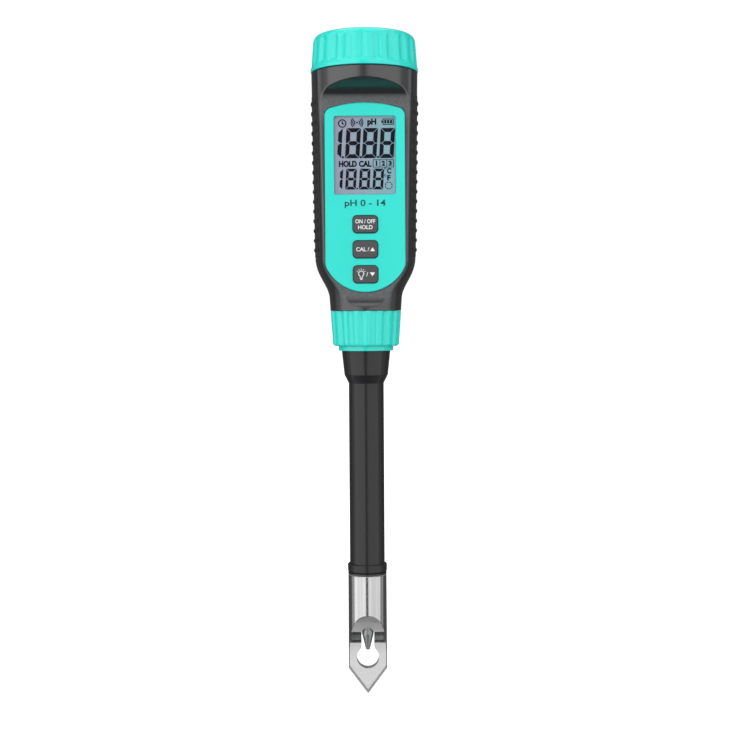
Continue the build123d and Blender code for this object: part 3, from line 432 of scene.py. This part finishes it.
def teal_plastic(name, roughness):
    """Glossy teal plastic: slow cloudy changes of tone, faint flow marks and a soft orange peel."""
    material, tree, shader = finish(name, teal, roughness)
    flow = grain(tree, 0.01, detail=2.0, stretch=(1, 1, 0.35))
    tree.links.new(blend_colours(tree, flow, teal_dark, teal), shader.inputs["Base Color"])
    peel = grain(tree, 0.0009, detail=2.0)
    tree.links.new(spread(tree, peel, roughness * 0.9, roughness * 1.12), shader.inputs["Roughness"])
    emboss(tree, shader, peel, 0.0003 * mm)
    return material


def cover(piece, material, body):
    """Give a new piece its material and its CAD body."""
    piece.data.materials.clear()
    piece.data.materials.append(material)
    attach(piece, body)


cap_teal = teal_plastic("cap_teal", 0.15)
cover(fluted_cap, cap_teal, "battery_cap")
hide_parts("battery_cap")

# ---------------------------------------------------------------- locking collar
# The threaded collar that holds the probe: the same teal plastic, with long flutes that run out
# at its wider upper end, a rounded lower edge and a plain step ring below.

collar_bottom, collar_top = (corner_point[2] / mm for corner_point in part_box("locking_collar"))
flare_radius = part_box("locking_collar")[1][0] / mm
foot_radius, step_radius, collar_bore, hub_bore = flare_radius - 0.85, 10.2, 10.9, 9.2
step_height, ledge_height = 1.7, 2.2
collar_points = [
    (collar_bore, collar_top),
    (flare_radius, collar_top),
    (foot_radius, collar_bottom + step_height),
    (step_radius, collar_bottom + step_height),
    (step_radius, collar_bottom),
    (hub_bore, collar_bottom),
    (hub_bore, collar_bottom + ledge_height),
    (collar_bore, collar_bottom + ledge_height),
    (collar_bore, collar_top),
]
collar_radii = [0, 0.3, 1.2, 0, 0.25, 0, 0, 0, 0]
collar_profile = smooth_profile(collar_points, collar_radii, longest_side)[:-1]
collar_count, collar_flute_width, collar_flute_depth, collar_skin = 18, 3.1, 0.66, 11.4
collar_ends = (collar_bottom + step_height - 0.6, collar_top + 1.6)
collar_flutes = spoon_flutes(
    collar_count, -6.0, collar_flute_width, collar_flute_depth, collar_ends, (1.2, 2.2), collar_skin
)
collar_columns = collar_count * flute_steps
fluted_collar = fluted_turning("fluted_collar", collar_profile, collar_columns, collar_flutes, closed=True)
cover(fluted_collar, cap_teal, "locking_collar")
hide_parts("locking_collar")

# ---------------------------------------------------------------- face panel
# A flat teal panel with a satin face, glued into the housing's recess.

panel_teal = teal_plastic("panel_teal", 0.34)
paint(panel_teal, "face_panel")

# ---------------------------------------------------------------- display
# A liquid crystal cell behind a clear lens.  The cell is lavender grey, a little greener and
# lighter to one side; the lens is glossy; a white light guide and two rubber strips lie behind.

cell_low, cell_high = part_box("lcd_cell")
cell_left, cell_right = (0.325, 0.360, 0.465), (0.245, 0.475, 0.535)
cell_pale = (0.45, 0.50, 0.62)
cell_grey, cell_tree, cell_shader = finish("lcd_polariser", cell_left, 0.30)
sideways = along(cell_tree, "X", cell_low[0], cell_high[0])
rightness = spread(cell_tree, sideways, 0, 1, 0.25, 1.0)
side_tone = blend_colours(cell_tree, rightness, cell_left, cell_right)
mottle = spread(cell_tree, grain(cell_tree, 4 * mm, detail=1.0), 0.0, 0.05)
cell_tone = blend_colours(cell_tree, mottle, side_tone, cell_pale)
cell_tree.links.new(cell_tone, cell_shader.inputs["Base Color"])
emboss(cell_tree, cell_shader, grain(cell_tree, 0.0003), 0.001 * mm)
paint(cell_grey, "lcd_cell")

lens_clear, lens_tree, lens_shader = finish("lens_clear", (0.04, 0.045, 0.05), 0.06)
lens_shader.inputs["Alpha"].default_value = 0.05
lens_shader.inputs["Specular IOR Level"].default_value = 0.25
lens_haze = grain(lens_tree, 0.006, detail=1.0)
lens_tree.links.new(spread(lens_tree, lens_haze, 0.04, 0.09), lens_shader.inputs["Roughness"])
paint(lens_clear, "display_window")

guide_white, _, _ = moulded("guide_white", (0.78, 0.80, 0.80), 0.35, 0.5 * mm, 0.01 * mm, 0.03)
paint(guide_white, "backlight")
strip_rubber, strip_tree, strip_shader = finish("strip_rubber", (0.03, 0.03, 0.03), 0.6)
layers_per_metre = 2500.0
layer_number = combine(strip_tree, "MULTIPLY", along(strip_tree, "X", 0.0, 1.0), layers_per_metre)
layers = combine(strip_tree, "FRACT", layer_number, 0.0)
conducting = spread(strip_tree, layers, 0, 1, 0.45, 0.55)
strip_tone = blend_colours(strip_tree, conducting, (0.02, 0.02, 0.02), (0.30, 0.30, 0.32))
strip_tree.links.new(strip_tone, strip_shader.inputs["Base Color"])
paint(strip_rubber, "contact_strips")

# ---------------------------------------------------------------- display marks
# The cell's dark segments: digits, words and icons that the liquid crystal shows all at once.
# They are very thin layers on the front face of the cell, under the clear window.

cell_middle = ((cell_low[0] + cell_high[0]) / 2, (cell_low[2] + cell_high[2]) / 2)
mark_thickness = 0.03 * mm
mark_steps = 28


def bar(left, bottom, right, top):
    """A rectangle, as the four corners of its outline."""
    return np.array([(left, bottom), (right, bottom), (right, top), (left, top)])


def stroke(start, end, width):
    """A straight line of this width: each end is moved half the width along the normal."""
    start, end = np.array(start), np.array(end)
    direction = (end - start) / np.linalg.norm(end - start)
    across = np.array([-direction[1], direction[0]]) * width / 2
    return np.array([start - across, end - across, end + across, start + across])


def arc_band(centre, radius, width, first, last):
    """A band along an arc: the outer arc out, then the inner arc back, angles in degrees."""
    angles = np.radians(np.linspace(first, last, mark_steps))
    out = np.stack([np.cos(angles), np.sin(angles)], axis=1)
    band = np.concatenate([out * (radius + width / 2), out[::-1] * (radius - width / 2)])
    return band + np.array(centre)


def disc(centre, radius):
    """A filled circle."""
    angles = np.linspace(0, 2 * math.pi, mark_steps, endpoint=False)
    return np.stack([np.cos(angles), np.sin(angles)], axis=1) * radius + np.array(centre)


def digit(left, bottom, width, height, thick, lit="abcdefg", slant=0.06):
    """Seven mitred segments, a gap apart, sheared so that the digit leans forwards."""
    gap, half, middle = 0.13, thick / 2, height / 2
    inner = thick + gap
    top_bar = [(gap, height), (inner, height - thick)]
    top_bar += [(width - inner, height - thick), (width - gap, height)]
    cross = [(gap + half, middle), (inner, middle + half), (width - inner, middle + half)]
    cross += [(width - gap - half, middle), (width - inner, middle - half), (inner, middle - half)]
    upper = [(0, height - gap), (thick, height - inner), (thick, middle + half + gap)]
    upper += [(half, middle + gap), (0, middle + gap)]
    segments = {"a": np.array(top_bar), "g": np.array(cross), "f": np.array(upper)}
    upside_down = np.array([1, -1]), np.array([0, height])
    mirrored = np.array([-1, 1]), np.array([width, 0])
    segments["d"] = segments["a"] * upside_down[0] + upside_down[1]
    segments["e"] = segments["f"] * upside_down[0] + upside_down[1]
    segments["b"] = segments["f"] * mirrored[0] + mirrored[1]
    segments["c"] = segments["e"] * mirrored[0] + mirrored[1]
    lean = np.array([[1, 0], [slant, 1]])
    return [segments[key] @ lean + np.array([left, bottom]) for key in lit]


def raised_marks(name, outlines, middle, face, thickness):
    """Turn flat outlines, in millimetres about a middle point, into thin plates on a face.

    Each outline becomes a front polygon, a back polygon and a ring of side quads.  An outline that
    runs clockwise, with a negative sum of x y' - y x' round it, is turned over first.
    """
    points, faces, start = [], [], 0
    for outline in outlines:
        next_point = np.roll(outline, -1, axis=0)
        twice_area = np.sum(outline[:, 0] * next_point[:, 1] - outline[:, 1] * next_point[:, 0])
        if twice_area < 0:
            outline = outline[::-1]
        count = len(outline)
        across = middle[0] + outline[:, 0] * mm
        up = middle[1] + outline[:, 1] * mm
        for level in (face - thickness, face):
            points.append(np.stack([across, np.full(count, level), up], axis=1))
        index = np.arange(count)
        following = np.roll(index, -1)
        front, back = start + index, start + count + index
        faces.append(front.tolist())
        faces.append(back[::-1].tolist())
        sides = np.stack([front, back, start + count + following, start + following], axis=1)
        faces.extend(sides.tolist())
        start += 2 * count
    mesh = bpy.data.meshes.new(name)
    mesh.from_pydata(np.concatenate(points).tolist(), [], faces)
    mesh.update()
    piece = bpy.data.objects.new(name, mesh)
    scene.collection.objects.link(piece)
    return piece


def lettering(name, words, middle, face, thickness, width, height, weight=0.0):
    """Letters as a thin plate, fitted to this width and height in millimetres about a middle.

    The letters' box is scaled to run from -1/2 to 1/2 each way, then to the size asked for.
    """
    curve = bpy.data.curves.new(name, "FONT")
    curve.body = words
    curve.offset = weight
    curve.extrude = 0.5
    curve.resolution_u = 6
    maker = bpy.data.objects.new(name + "_maker", curve)
    scene.collection.objects.link(maker)
    graph = bpy.context.evaluated_depsgraph_get()
    flat = bpy.data.meshes.new_from_object(maker.evaluated_get(graph))
    bpy.data.objects.remove(maker)
    at = np.empty(len(flat.vertices) * 3)
    flat.vertices.foreach_get("co", at)
    at = at.reshape(-1, 3)
    low, high = at.min(axis=0), at.max(axis=0)
    unit = (at - (low + high) / 2) / (high - low)
    placed = np.stack(
        [
            middle[0] + unit[:, 0] * width * mm,
            face - thickness / 2 - unit[:, 2] * thickness,
            middle[1] + unit[:, 1] * height * mm,
        ],
        axis=1,
    )
    flat.vertices.foreach_set("co", placed.ravel())
    flat.name = name
    flat.update()
    piece = bpy.data.objects.new(name, flat)
    scene.collection.objects.link(piece)
    return piece


segment_ink, _, ink_shader = moulded("segment_ink", (0.004, 0.005, 0.010), 0.6, 0.3 * mm, 0.001 * mm)
ink_shader.inputs["Specular IOR Level"].default_value = 0.08

# places on the display are in millimetres from its middle: across, then up
large_row, large_width, large_height, large_thick, large_point = -1.0, 5.3, 11.0, 1.5, 0.42
small_row, small_width, small_height, small_thick, small_point = -12.4, 3.9, 7.6, 1.05, 0.33
digits = digit(-10.7, large_row, 2.0, large_height, large_thick, lit="bc")
for left in (-7.3, -1.1, 5.2):
    digits += digit(left, large_row, large_width, large_height, large_thick)
digits += digit(-10.0, small_row, 1.6, small_height, small_thick, lit="bc")
for left in (-7.3, -2.3, 2.7):
    digits += digit(left, small_row, small_width, small_height, small_thick)
for across in (-8.05, -1.5, 4.8):
    digits.append(disc((across, -0.6), large_point))
for across in (-2.85, 2.15):
    digits.append(disc((across, -12.05), small_point))
display_digits = raised_marks("display_digits", digits, cell_middle, cell_low[1], mark_thickness)
cover(display_digits, segment_ink, "housing")

icons = []
# the clock, and the waves on both sides of a dot
clock_middle, clock_radius, clock_line = (-8.2, 11.7), 1.35, 0.42
for first in (0, 180):
    icons.append(arc_band(clock_middle, clock_radius, clock_line, first, first + 180))
icons.append(stroke((-8.2, 11.5), (-8.2, 12.6), clock_line))
icons.append(stroke((-8.3, 11.65), (-7.4, 11.45), clock_line))
wave_middle, wave_line = (-2.8, 12.0), 0.36
icons.append(disc(wave_middle, 0.34))
for reach in (0.95, 1.55, 2.15):
    for first in (-46, 134):
        icons.append(arc_band(wave_middle, reach, wave_line, first, first + 92))
# the cell of three bars, the frames of the step numbers, the dotted ring and two degree signs
icons += [bar(6.6, 13.1, 10.6, 13.4), bar(6.6, 11.15, 10.6, 11.45), bar(10.3, 11.45, 10.6, 13.1)]
icons += [bar(6.6, 11.45, 6.9, 13.1), bar(6.1, 11.85, 6.6, 12.7)]
icons += [bar(left, 11.65, left + 0.8, 12.9) for left in (7.15, 8.2, 9.25)]
for edge in (3.0, 5.5, 8.0, 10.4):
    icons.append(bar(edge - 0.13, -4.3, edge + 0.13, -1.6))
icons += [bar(2.9, -4.4, 10.5, -4.17), bar(2.9, -1.7, 10.5, -1.47)]
for turn in range(0, 360, 45):
    icons.append(arc_band((8.65, -11.0), 1.25, 0.36, turn + 7, turn + 38))
for top in (-4.75, -7.35):
    for first in (0, 180):
        icons.append(arc_band((7.45, top), 0.32, 0.2, first, first + 180))
display_icons = raised_marks("display_icons", icons, cell_middle, cell_low[1], mark_thickness)
cover(display_icons, segment_ink, "housing")

# the piece, its letters, where its middle is across and up, its width and its height
words_shown = [
    ("display_ph", "pH", 2.6, 12.0, 3.3, 3.0),
    ("display_hold", "HOLD", -6.25, -3.05, 6.6, 2.3),
    ("display_cal", "CAL", 0.1, -3.05, 4.6, 2.3),
    ("display_one", "1", 4.25, -2.9, 0.55, 1.9),
    ("display_two", "2", 6.75, -2.9, 1.3, 1.9),
    ("display_three", "3", 9.2, -2.9, 1.3, 1.9),
    ("display_celsius", "C", 8.85, -5.65, 1.6, 2.1),
    ("display_fahrenheit", "F", 8.75, -8.2, 1.3, 2.0),
]
for name, words, across, up, width, height in words_shown:
    middle = (cell_middle[0] + across * mm, cell_middle[1] + up * mm)
    word = lettering(name, words, middle, cell_low[1], mark_thickness, width, height, weight=0.055)
    cover(word, segment_ink, "housing")

# ---------------------------------------------------------------- panel legend
# A short generic legend, pad-printed in dark teal ink between the display and the keys.

panel_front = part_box("face_panel")[0][1]
print_thickness = 0.02 * mm
panel_ink, _, _ = moulded("panel_ink", (0.002, 0.040, 0.046), 0.6, 0.3 * mm, 0.001 * mm)
title_middle = (cell_middle[0], (cell_low[2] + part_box("power_key")[1][2]) / 2 + 0.1 * mm)
title_width, title_height = 15.0, 3.1
title = lettering(
    "panel_title", "pH 0 - 14", title_middle, panel_front, print_thickness, title_width, title_height, 0.02
)
cover(title, panel_ink, "housing")

# ---------------------------------------------------------------- keys and plungers
# Three charcoal rubber keys with a soft rounded edge, each on its own body, with a hard plastic
# plunger behind it that presses the switch.

key_rubber, _, _ = moulded("key_rubber", (0.048, 0.050, 0.053), 0.48, 0.15 * mm, 0.012 * mm)
paint(key_rubber, "power_key", "cal_key", "light_key")
plunger_white, _, _ = moulded("plunger_white", (0.62, 0.62, 0.60), 0.4, 0.3 * mm, 0.004 * mm)
paint(plunger_white, "power_plunger", "cal_plunger", "light_plunger")

# ---------------------------------------------------------------- key legends
# White legends, printed on the keys' soft tops and worn a little thin: words on the upper two,
# arrows on the lower two and a lamp on the lowest.

legend_height = 1.5
key_ink, _, _ = moulded("key_ink", (0.80, 0.81, 0.82), 0.5, 0.2 * mm, 0.002 * mm)


def key_top(node_name):
    """Middle of a key's top, across and up, and the depth of its face."""
    low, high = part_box(node_name)
    return ((low[0] + high[0]) / 2, (low[2] + high[2]) / 2), low[1]


def triangle(across, up, half, rise):
    """A triangle that points up, or down where rise is negative."""
    foot, tip = up - rise / 2, up + rise / 2
    return np.array([(across - half, foot), (across + half, foot), (across, tip)])


power_middle, power_face = key_top("power_key")
for name, words, up, width in (("power_word", "ON / OFF", 1.05, 7.3), ("hold_word", "HOLD", -1.1, 5.3)):
    middle = (power_middle[0], power_middle[1] + up * mm)
    word = lettering(name, words, middle, power_face, print_thickness, width, legend_height, 0.015)
    cover(word, key_ink, "power_key")

cal_middle, cal_face = key_top("cal_key")
cal_left = (cal_middle[0] - 1.0 * mm, cal_middle[1])
cal_word = lettering("cal_word", "CAL /", cal_left, cal_face, print_thickness, 4.8, legend_height, 0.015)
cover(cal_word, key_ink, "cal_key")
up_arrow = raised_marks("up_arrow", [triangle(2.6, 0, 0.9, 1.4)], cal_middle, cal_face, print_thickness)
cover(up_arrow, key_ink, "cal_key")

light_middle, light_face = key_top("light_key")
bulb = np.array((-1.6, 0.25))
lamp = [arc_band(bulb, 0.95, 0.26, -60, 90), arc_band(bulb, 0.95, 0.26, 90, 240)]
lamp += [stroke((-2.05, -0.6), (-2.0, -1.2), 0.24), stroke((-1.15, -0.6), (-1.2, -1.2), 0.24)]
lamp += [bar(-2.1, -1.5, -1.1, -1.25), bar(-2.0, -1.95, -1.2, -1.65)]
for turn in (30, 60, 90, 120, 150):
    ray = np.array([math.cos(math.radians(turn)), math.sin(math.radians(turn))])
    lamp.append(stroke(bulb + ray * 1.35, bulb + ray * 1.9, 0.2))
lamp += [stroke((0.35, -0.75), (0.8, 0.75), 0.22), triangle(2.5, 0, 0.95, -1.4)]
lamp_mark = raised_marks("lamp_mark", lamp, light_middle, light_face, print_thickness)
cover(lamp_mark, key_ink, "light_key")

# ---------------------------------------------------------------- probe body, washer and seals
# The probe's body is turned and polished black plastic, with very fine rings left by the lathe;
# the washer and the seals are dark glossy rubber.

probe_black, probe_tree, probe_shader = finish("probe_black", (0.014, 0.014, 0.015), 0.22)
lathe_rings = grain(probe_tree, 0.0006, detail=2.0, stretch=(0.02, 0.02, 1))
probe_tree.links.new(spread(probe_tree, lathe_rings, 0.19, 0.26), probe_shader.inputs["Roughness"])
probe_cloud = grain(probe_tree, 0.015, detail=2.0)
probe_tone = blend_colours(probe_tree, probe_cloud, (0.011, 0.011, 0.012), (0.018, 0.018, 0.020))
probe_tree.links.new(probe_tone, probe_shader.inputs["Base Color"])
probe_shader.inputs["Specular IOR Level"].default_value = 0.32
emboss(probe_tree, probe_shader, lathe_rings, 0.0012 * mm)
paint(probe_black, "probe_body")
seal_rubber, _, _ = moulded("seal_rubber", (0.016, 0.016, 0.017), 0.28, 0.3 * mm, 0.003 * mm)
paint(seal_rubber, "guard_washer", "plug_seal", "cap_seal")

# ---------------------------------------------------------------- glass electrode
# A thin glass tube with a pointed sensing tip, filled round a silver wire, in a porous ring.

tip_glass, glass_tree, glass_shader = finish("tip_glass", (0.35, 0.36, 0.37), 0.03)
glass_waves = grain(glass_tree, 0.002, detail=1.0)
glass_tree.links.new(spread(glass_tree, glass_waves, 0.02, 0.06), glass_shader.inputs["Roughness"])
glass_shader.inputs["Transmission Weight"].default_value = 0.4
glass_shader.inputs["IOR"].default_value = 2.1
glass_tint = blend_colours(glass_tree, glass_waves, (0.14, 0.15, 0.16), (0.30, 0.32, 0.33))
glass_tree.links.new(glass_tint, glass_shader.inputs["Base Color"])
paint(tip_glass, "electrode_glass")
silver, silver_tree, silver_shader = finish("silver_wire", (0.72, 0.70, 0.67), 0.3, 1.0)
silver_gloss = spread(silver_tree, grain(silver_tree, 0.5 * mm), 0.2, 0.45)
silver_tree.links.new(silver_gloss, silver_shader.inputs["Roughness"])
paint(silver, "inner_electrode")
porous_white, _, _ = moulded("porous_white", (0.70, 0.69, 0.65), 0.85, 0.12 * mm, 0.03 * mm)
paint(porous_white, "reference_junction")

# ---------------------------------------------------------------- spear guard
# A stainless steel tube, polished outside.  Its hollowed faces, its flat blade and its bore keep
# the duller finish of the milling cutter, with fine tool marks.

guard_low, guard_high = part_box("spear_guard")
guard_radius = guard_high[0]
tube_steel, streak_steel, milled_steel = (0.45, 0.45, 0.455), (0.36, 0.355, 0.35), (0.66, 0.66, 0.66)
guard_steel, steel_tree, steel_shader = finish("guard_steel", tube_steel, 0.16, 1.0)


def distance_from_axis(tree):
    """Distance of a point from the pen's axis: the length of its X and Y."""
    place = tree.nodes.new("ShaderNodeTexCoord")
    level = tree.nodes.new("ShaderNodeVectorMath")
    level.operation = "MULTIPLY"
    level.inputs[1].default_value = (1, 1, 0)
    length = tree.nodes.new("ShaderNodeVectorMath")
    length.operation = "LENGTH"
    tree.links.new(place.outputs["Object"], level.inputs[0])
    tree.links.new(level.outputs["Vector"], length.inputs[0])
    return length.outputs["Value"]


under_skin, at_skin = guard_radius - 0.12 * mm, guard_radius - 0.04 * mm
inside = spread(steel_tree, distance_from_axis(steel_tree), 1.0, 0.0, under_skin, at_skin)
# the two round-bottomed rinse pockets are polished again: a point is in one where its distance
# from the pocket's axis, the root of the sum of two squares, is less than the pocket's radius
pocket_height, pocket_depth, pocket_radius = guard_low[2] + 21.6 * mm, 3.4 * mm, 2.2 * mm
guard_place = steel_tree.nodes.new("ShaderNodeTexCoord")
guard_parts = steel_tree.nodes.new("ShaderNodeSeparateXYZ")
steel_tree.links.new(guard_place.outputs["Object"], guard_parts.inputs["Vector"])
from_blade = combine(steel_tree, "ABSOLUTE", guard_parts.outputs["Y"], 0)
from_middle = combine(steel_tree, "SUBTRACT", from_blade, pocket_depth)
from_level = combine(steel_tree, "SUBTRACT", guard_parts.outputs["Z"], pocket_height)
squares = []
for distance in (from_middle, from_level):
    squares.append(combine(steel_tree, "POWER", combine(steel_tree, "ABSOLUTE", distance, 0), 2))
pocket_reach = combine(steel_tree, "SQRT", combine(steel_tree, "ADD", *squares), 0)
in_pocket = combine(steel_tree, "LESS_THAN", pocket_reach, pocket_radius + 0.06 * mm)
out_of_pocket = combine(steel_tree, "SUBTRACT", 1.0, in_pocket)
milled = combine(steel_tree, "MULTIPLY", inside, out_of_pocket)
polished = combine(steel_tree, "SUBTRACT", 1.0, milled)
tool_marks = grain(steel_tree, 0.0004, detail=2.0, stretch=(0.15, 1, 1))
polish_marks = grain(steel_tree, 0.0012, detail=2.0, stretch=(0.03, 0.03, 1))
milled_gloss = spread(steel_tree, tool_marks, 0.52, 0.68)
tube_gloss = spread(steel_tree, polish_marks, 0.13, 0.19)
milled_part = combine(steel_tree, "MULTIPLY", milled, milled_gloss)
tube_part = combine(steel_tree, "MULTIPLY", polished, tube_gloss)
steel_gloss = combine(steel_tree, "ADD", milled_part, tube_part)
steel_tree.links.new(steel_gloss, steel_shader.inputs["Roughness"])
brush_marks = grain(steel_tree, 0.0009, detail=3.0, stretch=(1, 1, 0.015))
tube_tone = blend_colours(steel_tree, spread(steel_tree, brush_marks, 0, 1), streak_steel, tube_steel)
steel_tone = blend_colours(steel_tree, milled, tube_tone, milled_steel)
steel_tree.links.new(steel_tone, steel_shader.inputs["Base Color"])
emboss(steel_tree, steel_shader, combine(steel_tree, "MULTIPLY", tool_marks, milled), 0.004 * mm)
emboss(steel_tree, steel_shader, polish_marks, 0.0006 * mm)
paint(guard_steel, "spear_guard")

# ---------------------------------------------------------------- circuit board
# A green glass-fibre board with copper under its solder mask, black chips, plated screws and
# three tact switches.

board_green, board_tree, board_shader = finish("board_green", (0.012, 0.10, 0.035), 0.35)
tracks = board_tree.nodes.new("ShaderNodeTexBrick")
tracks.inputs["Scale"].default_value = 260.0
tracks.inputs["Mortar Size"].default_value = 0.09
tracks.inputs["Color1"].default_value = (0.012, 0.10, 0.035, 1)
tracks.inputs["Color2"].default_value = (0.016, 0.12, 0.042, 1)
tracks.inputs["Mortar"].default_value = (0.05, 0.20, 0.07, 1)
board_place = board_tree.nodes.new("ShaderNodeTexCoord")
board_turn = board_tree.nodes.new("ShaderNodeMapping")
board_turn.inputs["Rotation"].default_value = (math.pi / 2, 0, 0)
board_tree.links.new(board_place.outputs["Object"], board_turn.inputs["Vector"])
board_tree.links.new(board_turn.outputs["Vector"], tracks.inputs["Vector"])
board_tree.links.new(tracks.outputs["Color"], board_shader.inputs["Base Color"])
emboss(board_tree, board_shader, tracks.outputs["Fac"], 0.02 * mm)
paint(board_green, "main_board")
chip_black, _, _ = moulded("chip_black", (0.018, 0.018, 0.020), 0.55, 0.1 * mm, 0.01 * mm)
paint(chip_black, "board_parts", "switch_bodies")


def plated(name, colour, roughness):
    """Bare or plated metal: brushed by a noise that spreads its gloss and tone a little."""
    material, tree, shader = finish(name, colour, roughness, 1.0)
    brushed = grain(tree, 0.0003, detail=3.0)
    dull = tuple(part * 0.8 for part in colour)
    tree.links.new(blend_colours(tree, brushed, dull, colour), shader.inputs["Base Color"])
    tree.links.new(spread(tree, brushed, roughness * 0.8, roughness * 1.3), shader.inputs["Roughness"])
    emboss(tree, shader, brushed, 0.002 * mm)
    return material


screw_steel = plated("screw_steel", (0.60, 0.60, 0.58), 0.3)
paint(screw_steel, "board_screws")

# ---------------------------------------------------------------- cells, holder and contacts
# Two cells in wrapped steel cans stand in a black twin tube, on coiled springs; a brass bridge
# under the cap's contact disc joins them.

cells_low, cells_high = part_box("battery_cells")
wrap, wrap_tree, wrap_shader = finish("cell_wrap", (0.03, 0.04, 0.09), 0.3)
can_height, button_height, band_start = cells_high[2] - cells_low[2], 1.05 * mm, 0.74
up_cell = along(wrap_tree, "Z", cells_low[2], cells_high[2])
band = combine(wrap_tree, "GREATER_THAN", up_cell, band_start)
bare_top = combine(wrap_tree, "GREATER_THAN", up_cell, 1 - button_height / can_height)
print_grain = grain(wrap_tree, 0.002, detail=2.0)
wrap_tone = blend_colours(wrap_tree, print_grain, (0.022, 0.030, 0.07), (0.04, 0.052, 0.11))
band_tone = blend_colours(wrap_tree, band, wrap_tone, (0.42, 0.43, 0.45))
can_tone = blend_colours(wrap_tree, bare_top, band_tone, (0.75, 0.74, 0.72))
wrap_tree.links.new(can_tone, wrap_shader.inputs["Base Color"])
wrap_tree.links.new(bare_top, wrap_shader.inputs["Metallic"])
emboss(wrap_tree, wrap_shader, print_grain, 0.004 * mm)
paint(wrap, "battery_cells")
holder_black, _, _ = moulded("holder_black", (0.028, 0.028, 0.030), 0.45, 0.3 * mm, 0.006 * mm)
paint(holder_black, "battery_holder", "socket_block", "contact_disc", "probe_plug")
brass = plated("contact_brass", (0.72, 0.52, 0.22), 0.28)
paint(brass, "battery_springs", "contact_bridge", "socket_sleeves", "plug_pins")

# ---------------------------------------------------------------- inside the probe
# Four leads in coloured sleeves run down to the electrodes and to a resin-dipped sensor.

sleeves, sleeve_tree, sleeve_shader = finish("wire_sleeves", (0.5, 0.05, 0.04), 0.45)
# a lead lies to one side where it is more than a millimetre from the axis that way
sides = []
for axis, start, end in (("X", -1.0, 1.0), ("X", 1.0, -1.0), ("Y", -1.0, 1.0)):
    sides.append(combine(sleeve_tree, "GREATER_THAN", along(sleeve_tree, axis, start, end), 0.5 + mm / 2))
right_side, left_side, back_side = sides
sleeve_cloud = grain(sleeve_tree, 0.003, detail=2.0)
red_sleeve = blend_colours(sleeve_tree, sleeve_cloud, (0.45, 0.03, 0.03), (0.55, 0.06, 0.05))
side_sleeve = blend_colours(sleeve_tree, back_side, red_sleeve, (0.62, 0.62, 0.60))
right_sleeve = blend_colours(sleeve_tree, right_side, side_sleeve, (0.03, 0.09, 0.42))
sleeve_tone = blend_colours(sleeve_tree, left_side, right_sleeve, (0.02, 0.02, 0.02))
sleeve_tree.links.new(sleeve_tone, sleeve_shader.inputs["Base Color"])
emboss(sleeve_tree, sleeve_shader, sleeve_cloud, 0.004 * mm)
paint(sleeves, "lead_wires")
sensor_resin, _, _ = moulded("sensor_resin", (0.10, 0.06, 0.03), 0.3, 0.2 * mm, 0.01 * mm)
paint(sensor_resin, "temperature_sensor")
